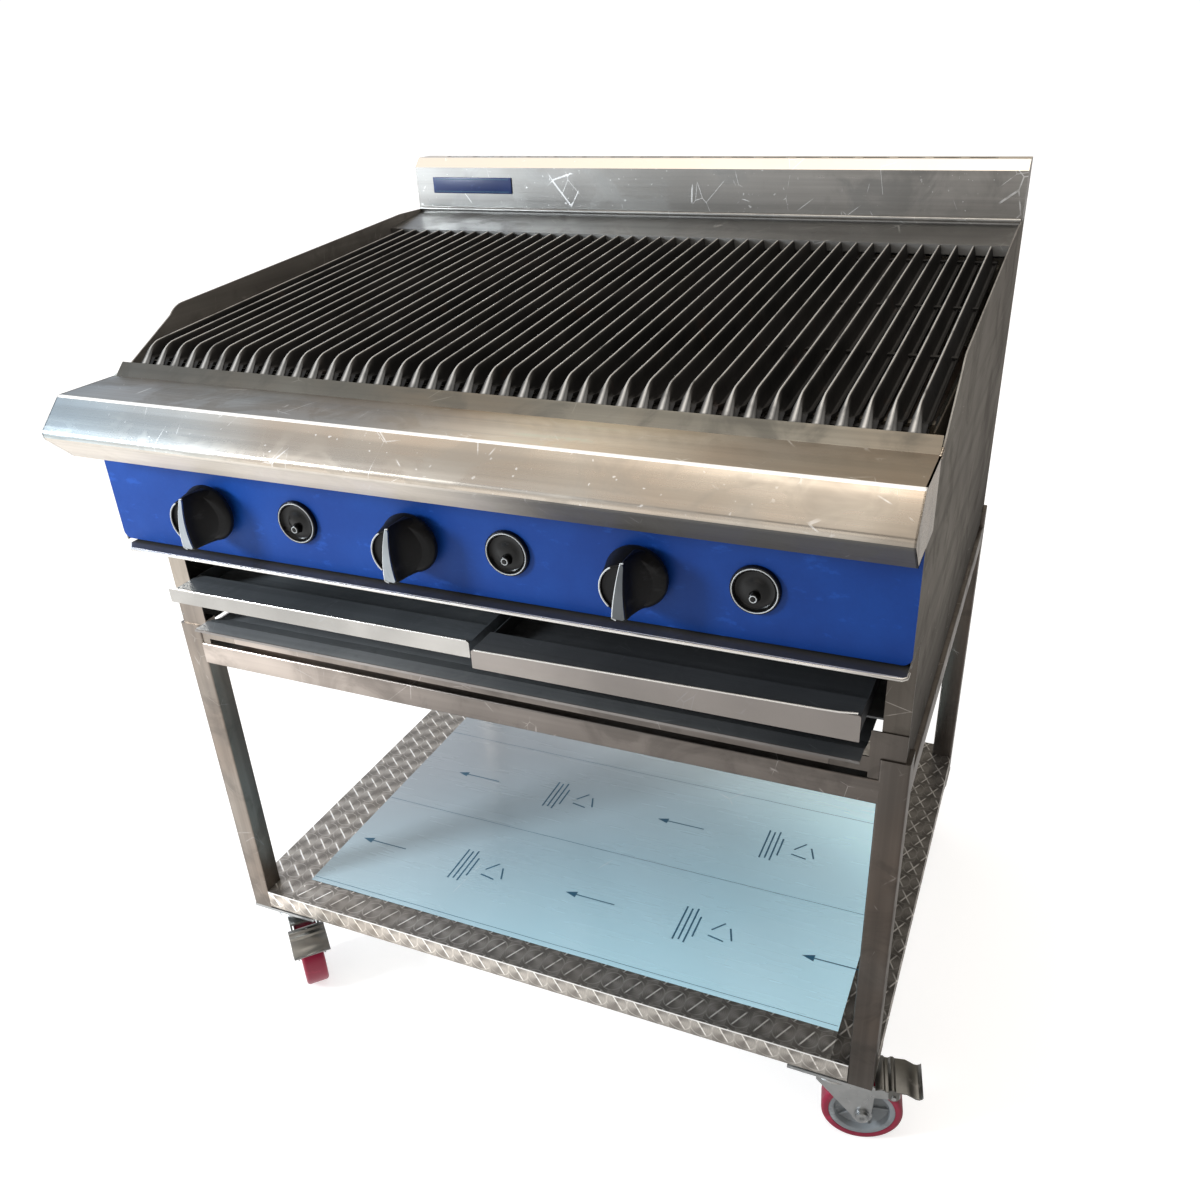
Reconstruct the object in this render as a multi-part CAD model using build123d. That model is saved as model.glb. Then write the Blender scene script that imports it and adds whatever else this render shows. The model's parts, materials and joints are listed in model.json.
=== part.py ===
from build123d import *
import math
import os

# Three-burner gas chargrill on a wheeled stand, in millimetres.
# +X is to the right of a cook who faces the grill, +Y is towards the back, +Z is up.
# The origin is on the floor, under the middle of the grill and its stand.

# ---- Overall sizes ----
WIDTH = 900.0
HALF = WIDTH / 2
SHEET = 1.5
REAR_Y = 408.0
DECK_TOP = 916.0

# ---- Stand ----
LEG = 30.0
LEG_OUTER_X = 455.0
LEG_INNER_X = LEG_OUTER_X - LEG
LEG_FRONT_Y = -294.0
LEG_BOTTOM = 127.0
LEG_TOP = 575.0
LUG_TOP = 600.0
LUG_CORNER = 12.0
BEAM_BOTTOM = 545.0
SHELF_TOP = 158.0
SHELF_DROP = 28.0
MOUNT_PLATE = 4.5
MOUNT_INNER_X = 352.0
MOUNT_DEEP = 75.0

# ---- Protective-film sheet that lies on the shelf ----
FILM_X = (-380.0, 403.0)
FILM_Y = (-250.0, 312.0)
FILM_THICK = 1.0

# ---- Castors ----
WHEEL_R = 50.0
WHEEL_WIDE = 32.0
TYRE_INNER_R = 41.0
AXLE_R = 5.0
CASTOR_TRAIL = 35.0
CASTOR_PLATE = (88.0, 65.0, 3.0)
CASTOR_BOLTS = (34.0, 24.0)
BOLT_R = 4.0
BOLT_HEAD_R = 6.5
BOLT_HEAD_HIGH = 4.0
KINGPIN_R = 6.0
RUNNING_FIT = 0.05
# The stack under the stand, from the mounting plate down to the top of the fork.
MOUNT_LOW = LEG_BOTTOM - MOUNT_PLATE
PLATE_LOW = MOUNT_LOW - CASTOR_PLATE[2]
RACE_LOW = PLATE_LOW - 4.0
RACE_R = 27.0
CROWN_TOP = RACE_LOW - 0.4
CROWN_LOW = 104.0
CROWN_R = 29.0
CHEEK_IN = 18.0
CHEEK_THICK = 2.5
CHEEK_OUT = CHEEK_IN + CHEEK_THICK
CHEEK_REAR = -24.0
CHEEK_FRONT = 42.0
AXLE_NUT_R = 8.5
AXLE_NUT_WIDE = 5.0
PEDAL_PIVOT = (70.0, 92.0)
PEDAL_PIN_R = 3.0
PEDAL_THICK = 2.2
PEDAL_HALF = 25.0
PEDAL_TAB_R = 6.5
PEDAL_TAB_THICK = 2.0
# name, swivel axis X and Y, heading of the trailing wheel in degrees, has a brake pedal
CASTORS = (
    ("front_right", 406.0, -259.0, 12.0, True),
    ("front_left", -406.0, -259.0, -43.0, True),
    ("rear_right", 412.0, 373.0, 165.0, False),
    ("rear_left", -412.0, 373.0, 180.0, False),
)

# ---- Grill body ----
POST_Y = LEG_FRONT_Y + 3.5
POST_WIDE = 26.0
FOOT_WIDE = 36.0
FOOT_TOP = 631.0
BASE_BOTTOM = 582.0
BASE_RAIL_TOP = 600.0
BASE_END_WIDE = 75.0
CONTROL_FLOOR = 735.0
PANEL_Y = -342.0
PANEL_THICK = 2.0
PANEL_TOP = 849.0
PANEL_CORNER = 9.0
NOSE_TIP_Y = -408.0
DECK_FRONT_Y = -378.0
DECK_REAR_Y = -298.0
LIP_FRONT_Y = -358.0
WELL_FRONT_Y = -250.0
UPSTAND_TOP = 928.0
GUTTER_FRONT_Y = -280.0
WELL_REAR_Y = 272.0
WELL_HALF = 436.0
WELL_BOTTOM = 770.0
SPLASH_Y = 363.0
SPLASH_FOOT = 1002.0
SPLASH_BEND = 1066.0
SPLASH_TOP = 1078.5
SIDE_TOP = 1006.0
REAR_PANEL_Y = 372.0
PANEL_REAR_Y = REAR_Y - 2.0
LIP_ENDS_X = (-438.0, 448.0)
LIP_CORNERS = (12.0, 3.0)
LIP_HEM = 2.5
PAN_HALF = 409.0
PAN_REAR_Y = 360.0
FLUE_SLOTS = 18
FLUE_SLOT_PITCH = 46.0

# ---- Burners and radiants ----
BURNER_PITCH = 285.0
BURNER_HALF = 70.0
BURNER_Y = (-170.0, 210.0)
BURNER_Z = (822.0, 840.0)
BURNER_HOLE_HALF = 28.0
BURNER_HOLE_Y = (-130.0, 175.0)
VENTURI_FRONT_Y = -236.0
VENTURI_R = 13.0
VENTURI_BORE_R = 9.0
RADIANT_Y = (-200.0, 240.0)
RADIANT_LOW = 872.0
RADIANT_HIGH = 890.0
RADIANT_RIDGE = 66.0
RADIANT_SHEET = 2.0
RADIANT_ROWS = 7
RADIANT_ROW_PITCH = 62.0
RADIANT_SLOT = (16.0, 30.0)

# ---- Grates ----
GRATES = 6
BARS = 7
BAR_PITCH = 20.7
BAR_SLOPE = 4.83
BAR_TOP_WIDE = 4.0
BAR_FOOT_HALF = 8.0
BAR_HEIGHT = 21.0
BAR_NOSE_Y = -275.0
BAR_BEND_Y = -244.0
BAR_BEND_Z = 947.0
BAR_NOSE_Z = 924.0
BAR_BEND_R = 30.0
BAR_DROOP = 37.0
BAR_NOSE_R = 6.2
BAR_BEAD_R = 3.0
GRATE_REAR_Y = 270.5
SUPPORT_DEEP = 22.0

# ---- Controls ----
CONTROL_Z = 791.0
KNOB_X = (-303.0, -48.0, 197.0)
IGNITER_X = (-192.0, 58.0, 308.0)
KNOB_R = 32.0
KNOB_DEEP = 41.0
KNOB_GAP = 7.0
KNOB_SKIRT = 6.0
KNOB_CONE = (31.0, 15.0)
KNOB_GRIP = (18.0, 62.0)
KNOB_ANGLES = (5.0, 4.0, 5.0)
SPINDLE_R = 4.0
SPINDLE_OUT = 28.0
SPINDLE_IN = 22.0
VALVE_HALF_X = 13.0
VALVE_HALF_Z = 14.0
KNOB_HOLE_R = 8.0
BARREL_HOLE_R = 15.0
BARREL_R = 14.5
BARREL_DEEP = 26.0
BEZEL_R = 24.0
BUTTON_R = 5.0
BUTTON_DROP = 6.0
PIPE_R = 10.7
MANIFOLD_Y = -300.0
PIPE_Z = 748.0
PIPE_X = 420.0
INLET_R = 13.2
INLET_NUT_R = 14.5
INLET_NUT_THICK = 6.0
INLET_LENGTH = 22.0

# ---- Drip trays ----
TRAY_BOTTOM = 646.0
TRAY_REAR_Y = 230.0
TRAY_WALL = 1.2
TRAY_FLANGE = 1.8
TRAY_DEEP = 18.0
LEDGE_DEEP = 41.0
LEDGE_DROP = 8.0
RUNNER_TOP = TRAY_BOTTOM - 0.5
RUNNER_SHEET = 2.0
RUNNER_HIGH = 22.0


def box(x0, x1, y0, y1, z0, z1):
    centre = Pos((x0 + x1) / 2, (y0 + y1) / 2, (z0 + z1) / 2)
    return centre * Box(abs(x1 - x0), abs(y1 - y0), abs(z1 - z0))


def rod(start, end, radius):
    """A round bar between two points."""
    axis = Vector(*end) - Vector(*start)
    plane = Plane(origin=start, z_dir=axis)
    return extrude(plane * Circle(radius), amount=axis.length)


def side_outline(points, x0, x1):
    """A closed outline of (y, z) points, carried along X."""
    face = make_face(Polyline(*points, close=True))
    return extrude(Plane.YZ.offset(x0) * face, amount=x1 - x0)


def front_outline(face, y0, y1):
    """A face drawn in (x, z), carried along Y."""
    plane = Plane(origin=(0, y0, 0), x_dir=(1, 0, 0), z_dir=(0, -1, 0))
    return extrude(plane * face, amount=y1 - y0, dir=(0, 1, 0))


def fold(points, thick):
    """The closed outline of a folded sheet: its outer face and the face inside it."""
    inner = []
    last = len(points) - 1
    for i, (u, v) in enumerate(points):
        before = points[max(i - 1, 0)]
        after = points[min(i + 1, last)]
        normals = []
        for a, b in ((before, (u, v)), ((u, v), after)):
            run = math.hypot(b[0] - a[0], b[1] - a[1])
            if run > 0:
                normals.append(((a[1] - b[1]) / run, (b[0] - a[0]) / run))
        nu = sum(n[0] for n in normals) / len(normals)
        nv = sum(n[1] for n in normals) / len(normals)
        scale = thick / (nu * nu + nv * nv)
        inner.append((u + nu * scale, v + nv * scale))
    return points + inner[::-1]


def turn(points, corner, start, end, radius, steps):
    """Adds an arc about a corner point, from one angle to another."""
    for i in range(steps + 1):
        angle = math.radians(start + (end - start) * i / steps)
        points.append((corner[0] + radius * math.cos(angle), corner[1] + radius * math.sin(angle)))
    return points


def tube(x0, x1, y0, y1, z0, z1, along, wall=SHEET):
    """A square tube that is open at both ends."""
    outer = box(x0, x1, y0, y1, z0, z1)
    inset = [wall, wall, wall]
    inset["XYZ".index(along)] = -1.0
    inner = box(
        x0 + inset[0], x1 - inset[0], y0 + inset[1], y1 - inset[1], z0 + inset[2], z1 - inset[2]
    )
    return outer - inner


# ------------------------------------------------------------------ the stand


def stand_legs():
    """Four square legs. The front and outer walls rise past the top as lugs."""
    legs = []
    for side in (-1, 1):
        for rear in (False, True):
            y0 = REAR_Y - LEG if rear else LEG_FRONT_Y
            x0, x1 = sorted((side * LEG_INNER_X, side * LEG_OUTER_X))
            leg = tube(x0, x1, y0, y0 + LEG, LEG_BOTTOM, LEG_TOP, "Z")
            face_y = y0 + LEG - SHEET if rear else y0
            outer_x = side * LEG_OUTER_X
            leg += box(outer_x - side * SHEET, outer_x, y0, y0 + LEG, LEG_TOP, LUG_TOP)
            lug = Pos((x0 + x1) / 2, (LEG_TOP + LUG_TOP) / 2) * Rectangle(LEG, LUG_TOP - LEG_TOP)
            inner_top = lug.vertices().sort_by(Axis.Y)[2:].sort_by(lambda v: abs(v.X))[0]
            lug = fillet(inner_top, LUG_CORNER)
            leg += front_outline(lug, face_y, face_y + SHEET)
            legs.append(leg)
    return Compound(legs)


def stand_beams():
    """Four tubes that tie the tops of the legs."""
    tubes = []
    for y0 in (LEG_FRONT_Y, REAR_Y - LEG):
        tubes.append(tube(-LEG_INNER_X, LEG_INNER_X, y0, y0 + LEG, BEAM_BOTTOM, LEG_TOP, "X"))
    for x0 in (-LEG_OUTER_X, LEG_INNER_X):
        tubes.append(tube(x0, x0 + LEG, LEG_FRONT_Y + LEG, REAR_Y - LEG, BEAM_BOTTOM, LEG_TOP, "Y"))
    return Compound(tubes)


def shelf():
    """The bottom shelf: a sheet notched round the legs, with its four edges folded down."""
    sheet = box(-LEG_OUTER_X, LEG_OUTER_X, LEG_FRONT_Y, REAR_Y, SHELF_TOP - SHEET, SHELF_TOP)
    for x in (-LEG_OUTER_X, LEG_INNER_X):
        for y in (LEG_FRONT_Y, REAR_Y - LEG):
            sheet -= box(x, x + LEG, y, y + LEG, SHELF_TOP - 5, SHELF_TOP + 5)
    low = SHELF_TOP - SHELF_DROP
    for y in (LEG_FRONT_Y, REAR_Y - SHEET):
        sheet += box(-LEG_INNER_X, LEG_INNER_X, y, y + SHEET, low, SHELF_TOP - SHEET)
    for x in (-LEG_OUTER_X, LEG_OUTER_X - SHEET):
        sheet += box(x, x + SHEET, LEG_FRONT_Y + LEG, REAR_Y - LEG, low, SHELF_TOP - SHEET)
    return sheet


def castor_bolt_places():
    for _, x, y, _, _ in CASTORS:
        for dx in (-CASTOR_BOLTS[0], CASTOR_BOLTS[0]):
            for dy in (-CASTOR_BOLTS[1], CASTOR_BOLTS[1]):
                yield x + dx, y + dy


def castor_mounts():
    """Thick plates under the corners of the stand, which the castors bolt to."""
    plates = []
    for _, x, y, _, _ in CASTORS:
        side = 1 if x > 0 else -1
        x0, x1 = sorted((side * MOUNT_INNER_X, side * LEG_OUTER_X))
        y0 = LEG_FRONT_Y if y < 0 else REAR_Y - MOUNT_DEEP
        plates.append(box(x0, x1, y0, y0 + MOUNT_DEEP, MOUNT_LOW, LEG_BOTTOM))
    holes = [rod((x, y, MOUNT_LOW - 1), (x, y, LEG_BOTTOM + 1), BOLT_R) for x, y in castor_bolt_places()]
    drilled = []
    for plate in plates:
        for hole in holes:
            plate -= hole
        drilled.append(plate)
    return Compound(drilled)


def castor_plates():
    """The fixed top plate of each castor, with the upper half of its ball race."""
    plates = []
    for _, x, y, _, _ in CASTORS:
        plate = box(
            x - CASTOR_PLATE[0] / 2, x + CASTOR_PLATE[0] / 2,
            y - CASTOR_PLATE[1] / 2, y + CASTOR_PLATE[1] / 2, PLATE_LOW, MOUNT_LOW,
        )
        plate = fillet(plate.edges().filter_by(Axis.Z), 8.0)
        plate += rod((x, y, RACE_LOW), (x, y, PLATE_LOW), RACE_R)
        plate -= rod((x, y, RACE_LOW - 1), (x, y, MOUNT_LOW + 1), KINGPIN_R + RUNNING_FIT)
        for bx, by in castor_bolt_places():
            if abs(bx - x) < CASTOR_PLATE[0] and abs(by - y) < CASTOR_PLATE[1]:
                plate -= rod((bx, by, PLATE_LOW - 1), (bx, by, MOUNT_LOW + 1), BOLT_R)
        plates.append(plate)
    return Compound(plates)


def castor_bolts():
    """Sixteen bolts with their nuts: the heads are under the castor plates."""
    hexagon = extrude(RegularPolygon(BOLT_HEAD_R, 6), amount=BOLT_HEAD_HIGH)
    head = Pos(0, 0, PLATE_LOW - BOLT_HEAD_HIGH) * hexagon
    nut = Pos(0, 0, LEG_BOTTOM) * hexagon
    shank = rod((0, 0, PLATE_LOW), (0, 0, LEG_BOTTOM), BOLT_R)
    bolt = head + shank + nut
    return Compound([Pos(x, y, 0) * bolt for x, y in castor_bolt_places()])


# Each castor is drawn about its own swivel axis, with the wheel trailing along +X,
# and is then turned to its heading.


def cheek_outline(braked):
    """One side plate of the fork: wide at the crown and narrow at the axle."""
    crown = Polyline(
        (CHEEK_REAR, CROWN_LOW + 2), (CHEEK_REAR, CROWN_TOP - 6), (CHEEK_FRONT, CROWN_TOP - 6),
        (CHEEK_FRONT + 6, 96), (CASTOR_TRAIL + 11, 52), (CASTOR_TRAIL - 11, 46), close=True,
    )
    outline = make_face(crown) + Pos(CASTOR_TRAIL, WHEEL_R) * Circle(12.5)
    if braked:
        arm = Polyline(
            (30, 100), (40, CROWN_TOP - 10), (62, 98), (72, 98), (72, 86), (44, 84), close=True,
        )
        outline += make_face(arm)
        outline += Pos(*PEDAL_PIVOT) * Circle(8.0)
    return outline


def cross_rod(u, z, y0, y1, radius):
    """A round bar across the castor, along the line of its axle."""
    return rod((u, y0, z), (u, y1, z), radius)


def fork(braked):
    """The swivelling fork with its half of the race, its kingpin, axle and pedal pin."""
    cheek = cheek_outline(braked)
    body = front_outline(cheek, CHEEK_IN, CHEEK_OUT) + front_outline(cheek, -CHEEK_OUT, -CHEEK_IN)
    body += box(CHEEK_REAR, CHEEK_FRONT, -CHEEK_OUT, CHEEK_OUT, CROWN_TOP - 6, CROWN_TOP - 2.5)
    body += rod((0, 0, CROWN_TOP - 3), (0, 0, CROWN_TOP), CROWN_R)
    body += rod((0, 0, CROWN_TOP - 1), (0, 0, MOUNT_LOW - 0.5), KINGPIN_R)
    reach = CHEEK_OUT + AXLE_NUT_WIDE
    axle = cross_rod(CASTOR_TRAIL, WHEEL_R, -reach, reach, AXLE_R)
    body -= axle
    for a, b in ((-reach, -CHEEK_OUT), (CHEEK_OUT, reach)):
        axle += cross_rod(CASTOR_TRAIL, WHEEL_R, a, b, AXLE_NUT_R)
    parts = [body, axle]
    if braked:
        pin = cross_rod(*PEDAL_PIVOT, -CHEEK_OUT - 4.4, CHEEK_OUT + 4.4, PEDAL_PIN_R)
        parts[0] = body - pin
        parts.append(pin)
    return parts


def wheel_hub():
    """The grey hub: a rim, a thin web and a long boss that runs on the axle."""
    half = WHEEL_WIDE / 2 - 1.0
    profile = [
        (AXLE_R + RUNNING_FIT, -17.0), (13.0, -17.0), (15.0, -6.0), (30.0, -4.0), (34.0, -half),
        (TYRE_INNER_R, -half), (TYRE_INNER_R, half), (34.0, half), (30.0, 4.0), (15.0, 6.0),
        (13.0, 17.0), (AXLE_R + RUNNING_FIT, 17.0),
    ]
    face = make_face(Plane.XY * Polyline(*profile, close=True))
    return turned(face)


def turned(face):
    """Spins a (radius, width) face about the axle line."""
    spun = revolve(face, Axis.Y, 360)
    return Pos(CASTOR_TRAIL, 0, WHEEL_R) * spun


def tyre():
    """The tread: square to the hub inside and rounded at both shoulders."""
    half = WHEEL_WIDE / 2
    ring = Pos((WHEEL_R + TYRE_INNER_R) / 2, 0) * Rectangle(WHEEL_R - TYRE_INNER_R, 2 * half)
    shoulders = ring.vertices().sort_by(Axis.X)[2:]
    return turned(fillet(shoulders, 5.0))


def pedal():
    """The brake pedal: a stepped tread plate on two side tabs that hang on the pin."""
    tread = [(47, 103.5), (56, 106), (59, 103), (64, 103), (67, 106), (72, 103.5), (84, 103.5),
             (96, 96.5), (102, 97.5), (103, 100)]
    plate = fold(tread, PEDAL_THICK)
    face = make_face(Polyline(*plate, close=True))
    body = front_outline(face, -PEDAL_HALF, PEDAL_HALF)
    tab_in = CHEEK_OUT + 0.5
    u, z = PEDAL_PIVOT
    tab = Pos(u, z) * Circle(PEDAL_TAB_R)
    tab += Pos(u, z + PEDAL_TAB_R) * Rectangle(2 * PEDAL_TAB_R, 2 * PEDAL_TAB_R)
    for y0 in (tab_in, -tab_in - PEDAL_TAB_THICK):
        body += front_outline(tab, y0, y0 + PEDAL_TAB_THICK)
    return body - cross_rod(u, z, -PEDAL_HALF - 15, PEDAL_HALF + 15, PEDAL_PIN_R + RUNNING_FIT)


# ------------------------------------------------------------------ the grill body


def side_panel(side):
    """One side: a flat sheet whose top edge is the sloping splash guard beside the grates."""
    outline = [
        (POST_Y + SHEET, BASE_BOTTOM), (PANEL_REAR_Y, BASE_BOTTOM), (PANEL_REAR_Y, SIDE_TOP),
        (304.0, SIDE_TOP),
    ]
    turn(outline, (-172.0, 935.0), 94.0, 135.0, 36.5, 5)
    outline += [(-289.0, DECK_TOP - SHEET), (DECK_REAR_Y, DECK_TOP - SHEET),
                (DECK_REAR_Y, PANEL_TOP), (PANEL_Y + PANEL_THICK, PANEL_TOP),
                (PANEL_Y + PANEL_THICK, CONTROL_FLOOR), (POST_Y + SHEET, CONTROL_FLOOR)]
    x0, x1 = sorted((side * HALF, side * (HALF - SHEET)))
    return side_outline(outline, x0, x1)


def front_posts():
    """The narrow front faces of the sides, below the control box."""
    posts = []
    for side in (-1, 1):
        x0, x1 = sorted((side * HALF, side * (HALF - POST_WIDE)))
        posts.append(box(x0, x1, POST_Y, POST_Y + SHEET, BASE_BOTTOM, CONTROL_FLOOR - SHEET))
    return Compound(posts)


def corner_feet():
    """Folded corner pieces that stand on the legs: a pad and an L-shaped front plate."""
    feet = []
    for side in (-1, 1):
        inner = side * (HALF - FOOT_WIDE)
        outer = side * HALF
        plate_y = POST_Y - SHEET
        x0, x1 = sorted((inner, outer))
        plate = box(x0, x1, plate_y, POST_Y, LEG_TOP, FOOT_TOP)
        x2, x3 = sorted((side * (HALF - BASE_END_WIDE), outer))
        plate += box(x2, x3, plate_y, POST_Y, BASE_BOTTOM, BASE_RAIL_TOP)
        plate += box(x0, x1, POST_Y, POST_Y + 30.0, LEG_TOP, LEG_TOP + 3.0)
        feet.append(plate)
        feet.append(box(x0, x1, REAR_Y - 32.0, REAR_Y - SHEET, LEG_TOP, BASE_BOTTOM))
    return Compound(feet)


def base_rail():
    """The plain rail across the front, between the two corner feet."""
    half = HALF - BASE_END_WIDE - 0.3
    y = POST_Y - SHEET
    outline = fold([(y + 22, BASE_BOTTOM), (y, BASE_BOTTOM), (y, BASE_RAIL_TOP)], -SHEET)
    return side_outline(outline, -half, half)


def base_pan():
    """The floor pan under the trays, with a lip that stands out below them."""
    lip = [(-316.0, 606.0), (-316.0, 609.0), (-293.0, 609.0), (-270.0, 602.0), (PAN_REAR_Y, 602.0),
           (PAN_REAR_Y, 622.0)]
    return side_outline(fold(lip, -SHEET), -PAN_HALF, PAN_HALF)


def tray_runners():
    """Three runners that carry the drip trays: one on each side and one in the middle."""
    top = RUNNER_TOP
    flange_low = top - RUNNER_SHEET
    y0, y1 = POST_Y + SHEET, 365.0
    runners = []
    for side in (-1, 1):
        x0, x1 = sorted((side * (HALF - SHEET), side * 398.0))
        rail = box(x0, x1, y0, y1, flange_low, top)
        x2, x3 = sorted((side * (HALF - SHEET), side * (HALF - SHEET - RUNNER_SHEET)))
        rail += box(x2, x3, y0, y1, top - RUNNER_HIGH, flange_low)
        runners.append(rail)
    middle = box(-26.0, 12.0, y0, PAN_REAR_Y - 2.0, flange_low, top)
    middle += box(-8.0, -6.0, -270.0, PAN_REAR_Y - 2.0, 602.0, flange_low)
    runners.append(middle)
    return Compound(runners)


def tray(x0, x1, front_y, flange_x0, flange_x1, left_rise, right_rise):
    """A folded drip tray. A ledge runs back from the top of its front flange, over the pan."""
    top = TRAY_BOTTOM + TRAY_DEEP
    wall = TRAY_WALL
    ledge_y = front_y + LEDGE_DEEP
    pan = box(x0, x1, front_y, TRAY_REAR_Y, TRAY_BOTTOM, top)
    pan -= box(x0 + wall, x1 - wall, front_y + wall, TRAY_REAR_Y - wall, TRAY_BOTTOM + wall, top + 9)
    ledge_top = top + left_rise
    pan += box(x0, x1, front_y, ledge_y, ledge_top - wall, ledge_top)
    pan += box(x0, x1, ledge_y - wall, ledge_y, ledge_top - LEDGE_DROP, ledge_top)
    if left_rise > 0:
        riser = box(x0, x1, front_y, ledge_y, top - 1.0, ledge_top - wall)
        riser -= box(x0 + wall, x1 - wall, front_y + wall, ledge_y + 1.0, top - 2.0, ledge_top)
        pan += riser
    corners = Polyline(
        (flange_x0, TRAY_BOTTOM), (flange_x1, TRAY_BOTTOM), (flange_x1, top + right_rise),
        (flange_x0, top + left_rise), close=True,
    )
    face = make_face(corners)
    upper = face.vertices().sort_by(Axis.Y)[2:]
    pan += front_outline(fillet(upper, 2.5), front_y - TRAY_FLANGE, front_y)
    return pan


def control_panel():
    """The coloured fascia, with rounded lower corners and holes for the controls."""
    high = PANEL_TOP - CONTROL_FLOOR - 3.0
    face = Pos(0, PANEL_TOP - high / 2) * Rectangle(WIDTH, high)
    face = fillet(face.vertices().sort_by(Axis.Y)[:2], PANEL_CORNER)
    for x in KNOB_X:
        face -= Pos(x, CONTROL_Z) * Circle(KNOB_HOLE_R)
    for x in IGNITER_X:
        face -= Pos(x, CONTROL_Z) * Circle(BARREL_HOLE_R)
    return front_outline(face, PANEL_Y, PANEL_Y + PANEL_THICK)


def control_box_floor():
    """The floor of the control box. Its front edge stands out under the fascia as a lip."""
    x0, x1 = LIP_ENDS_X
    left, right = LIP_CORNERS
    rear_y = DECK_REAR_Y + 8.0
    outline = Polyline(
        (x0, LIP_FRONT_Y + left), (x0 + left, LIP_FRONT_Y), (x1 - right, LIP_FRONT_Y),
        (x1, LIP_FRONT_Y + right), (x1, rear_y), (x0, rear_y), close=True,
    )
    low = CONTROL_FLOOR - SHEET
    plate = extrude(Pos(0, 0, low) * make_face(outline), amount=SHEET)
    hem = box(x0 + left, x1 - right, LIP_FRONT_Y, LIP_FRONT_Y + SHEET, low - LIP_HEM, low)
    return plate + hem


def front_nosing():
    """The bull nose: a flat deck, a broad sloping face and a lower face that turns back in."""
    skin = [(DECK_REAR_Y, DECK_TOP)]
    turn(skin, (DECK_FRONT_Y + 4.0, DECK_TOP - 5.0), 95.0, 140.0, 4.0, 3)
    turn(skin, (NOSE_TIP_Y + 9.0, 882.0), 150.0, 228.0, 9.0, 6)
    skin += [(DECK_FRONT_Y, PANEL_TOP), (PANEL_Y + PANEL_THICK, PANEL_TOP)]
    sheet = side_outline(fold(skin, SHEET), -HALF, HALF)
    cap = [(DECK_REAR_Y, PANEL_TOP)] + skin[:-1]
    for side in (-1, 1):
        x0, x1 = sorted((side * HALF, side * (HALF - SHEET)))
        sheet += side_outline(cap, x0, x1)
    return sheet


def firebox_front_wall():
    """The upstand behind the deck, the gutter under the noses of the grates, and the front wall."""
    profile = [(DECK_REAR_Y, DECK_TOP - SHEET), (GUTTER_FRONT_Y - 3.0, UPSTAND_TOP),
               (GUTTER_FRONT_Y, 909.0), (WELL_FRONT_Y, 902.0), (WELL_FRONT_Y, WELL_BOTTOM)]
    return side_outline(fold(profile, -SHEET), -HALF + SHEET, HALF - SHEET)


def firebox_liners():
    """The rear wall of the fire box and its two inner side walls."""
    rear_y = WELL_REAR_Y + 4.0
    liners = [box(-HALF + SHEET, HALF - SHEET, rear_y, rear_y + SHEET, WELL_BOTTOM, 975.0)]
    for side in (-1, 1):
        x0, x1 = sorted((side * WELL_HALF, side * (WELL_HALF + SHEET)))
        liners.append(box(x0, x1, WELL_FRONT_Y + SHEET, rear_y, WELL_BOTTOM, 918.0))
    return Compound(liners)


def grate_supports():
    """The two rails that the grates rest on."""
    supports = []
    for y0, y1, low in (
        (WELL_FRONT_Y + SHEET, WELL_FRONT_Y + 12.0, 896.0),
        (WELL_REAR_Y - SUPPORT_DEEP, WELL_REAR_Y + 4.0, 940.0),
    ):
        top = foot_z(WELL_FRONT_Y if y0 < 0 else y0)
        supports.append(box(-WELL_HALF, WELL_HALF, y0, y1, low, top))
    return Compound(supports)


def ridge_z(y):
    """The height of the bars' top edge, which rises towards the back."""
    return BAR_BEND_Z + (y - BAR_BEND_Y) * math.tan(math.radians(BAR_SLOPE))


def foot_z(y):
    """The height of the supports, just under the bars."""
    return ridge_z(y) - BAR_HEIGHT - 0.5


def rear_ledge():
    """The sheet between the grates and the splashback, with a bead at the back."""
    profile = [(WELL_REAR_Y, 978.0), (WELL_REAR_Y, 990.0), (SPLASH_Y - SHEET, SPLASH_FOOT),
               (SPLASH_Y - SHEET, SPLASH_FOOT + 8.0)]
    inner = HALF - SHEET
    rear_y = SPLASH_Y - SHEET
    sheet = side_outline(fold(profile, -SHEET), -inner, inner)
    bead = rod((-inner, rear_y, SPLASH_FOOT + 5.0), (inner, rear_y, SPLASH_FOOT + 5.0), 3.0)
    front_half = box(-HALF, HALF, SPLASH_Y - 6.0, rear_y, SPLASH_FOOT, SPLASH_FOOT + 9.0)
    return sheet + (bead & front_half)


def splashback():
    """The upstand: an upright face, a narrow strip that leans back, and the flue top behind."""
    skin = [(SPLASH_Y, SIDE_TOP), (SPLASH_Y, SPLASH_BEND), (SPLASH_Y + 13.0, SPLASH_TOP),
            (REAR_Y, SPLASH_TOP), (REAR_Y, SIDE_TOP)]
    shell = side_outline(fold(skin, -SHEET), -HALF, HALF)
    cap = [(SPLASH_Y, SIDE_TOP)] + skin[1:]
    for side in (-1, 1):
        x0, x1 = sorted((side * HALF, side * (HALF - SHEET)))
        shell += side_outline(cap, x0, x1)
    for i in range(FLUE_SLOTS):
        x = (i - (FLUE_SLOTS - 1) / 2) * FLUE_SLOT_PITCH
        slot = Pos(x, SPLASH_Y + 29.0, SPLASH_TOP - 5) * extrude(SlotOverall(36.0, 9.0), amount=10.0)
        shell -= slot
    return shell


def badge_plate():
    """A blank name plate at the left of the splashback."""
    plate = Pos(-352.0, 1041.0) * Rectangle(136.0, 22.5)
    plate = fillet(plate.vertices(), 3.0)
    return front_outline(plate, SPLASH_Y - 2.0, SPLASH_Y)


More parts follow.
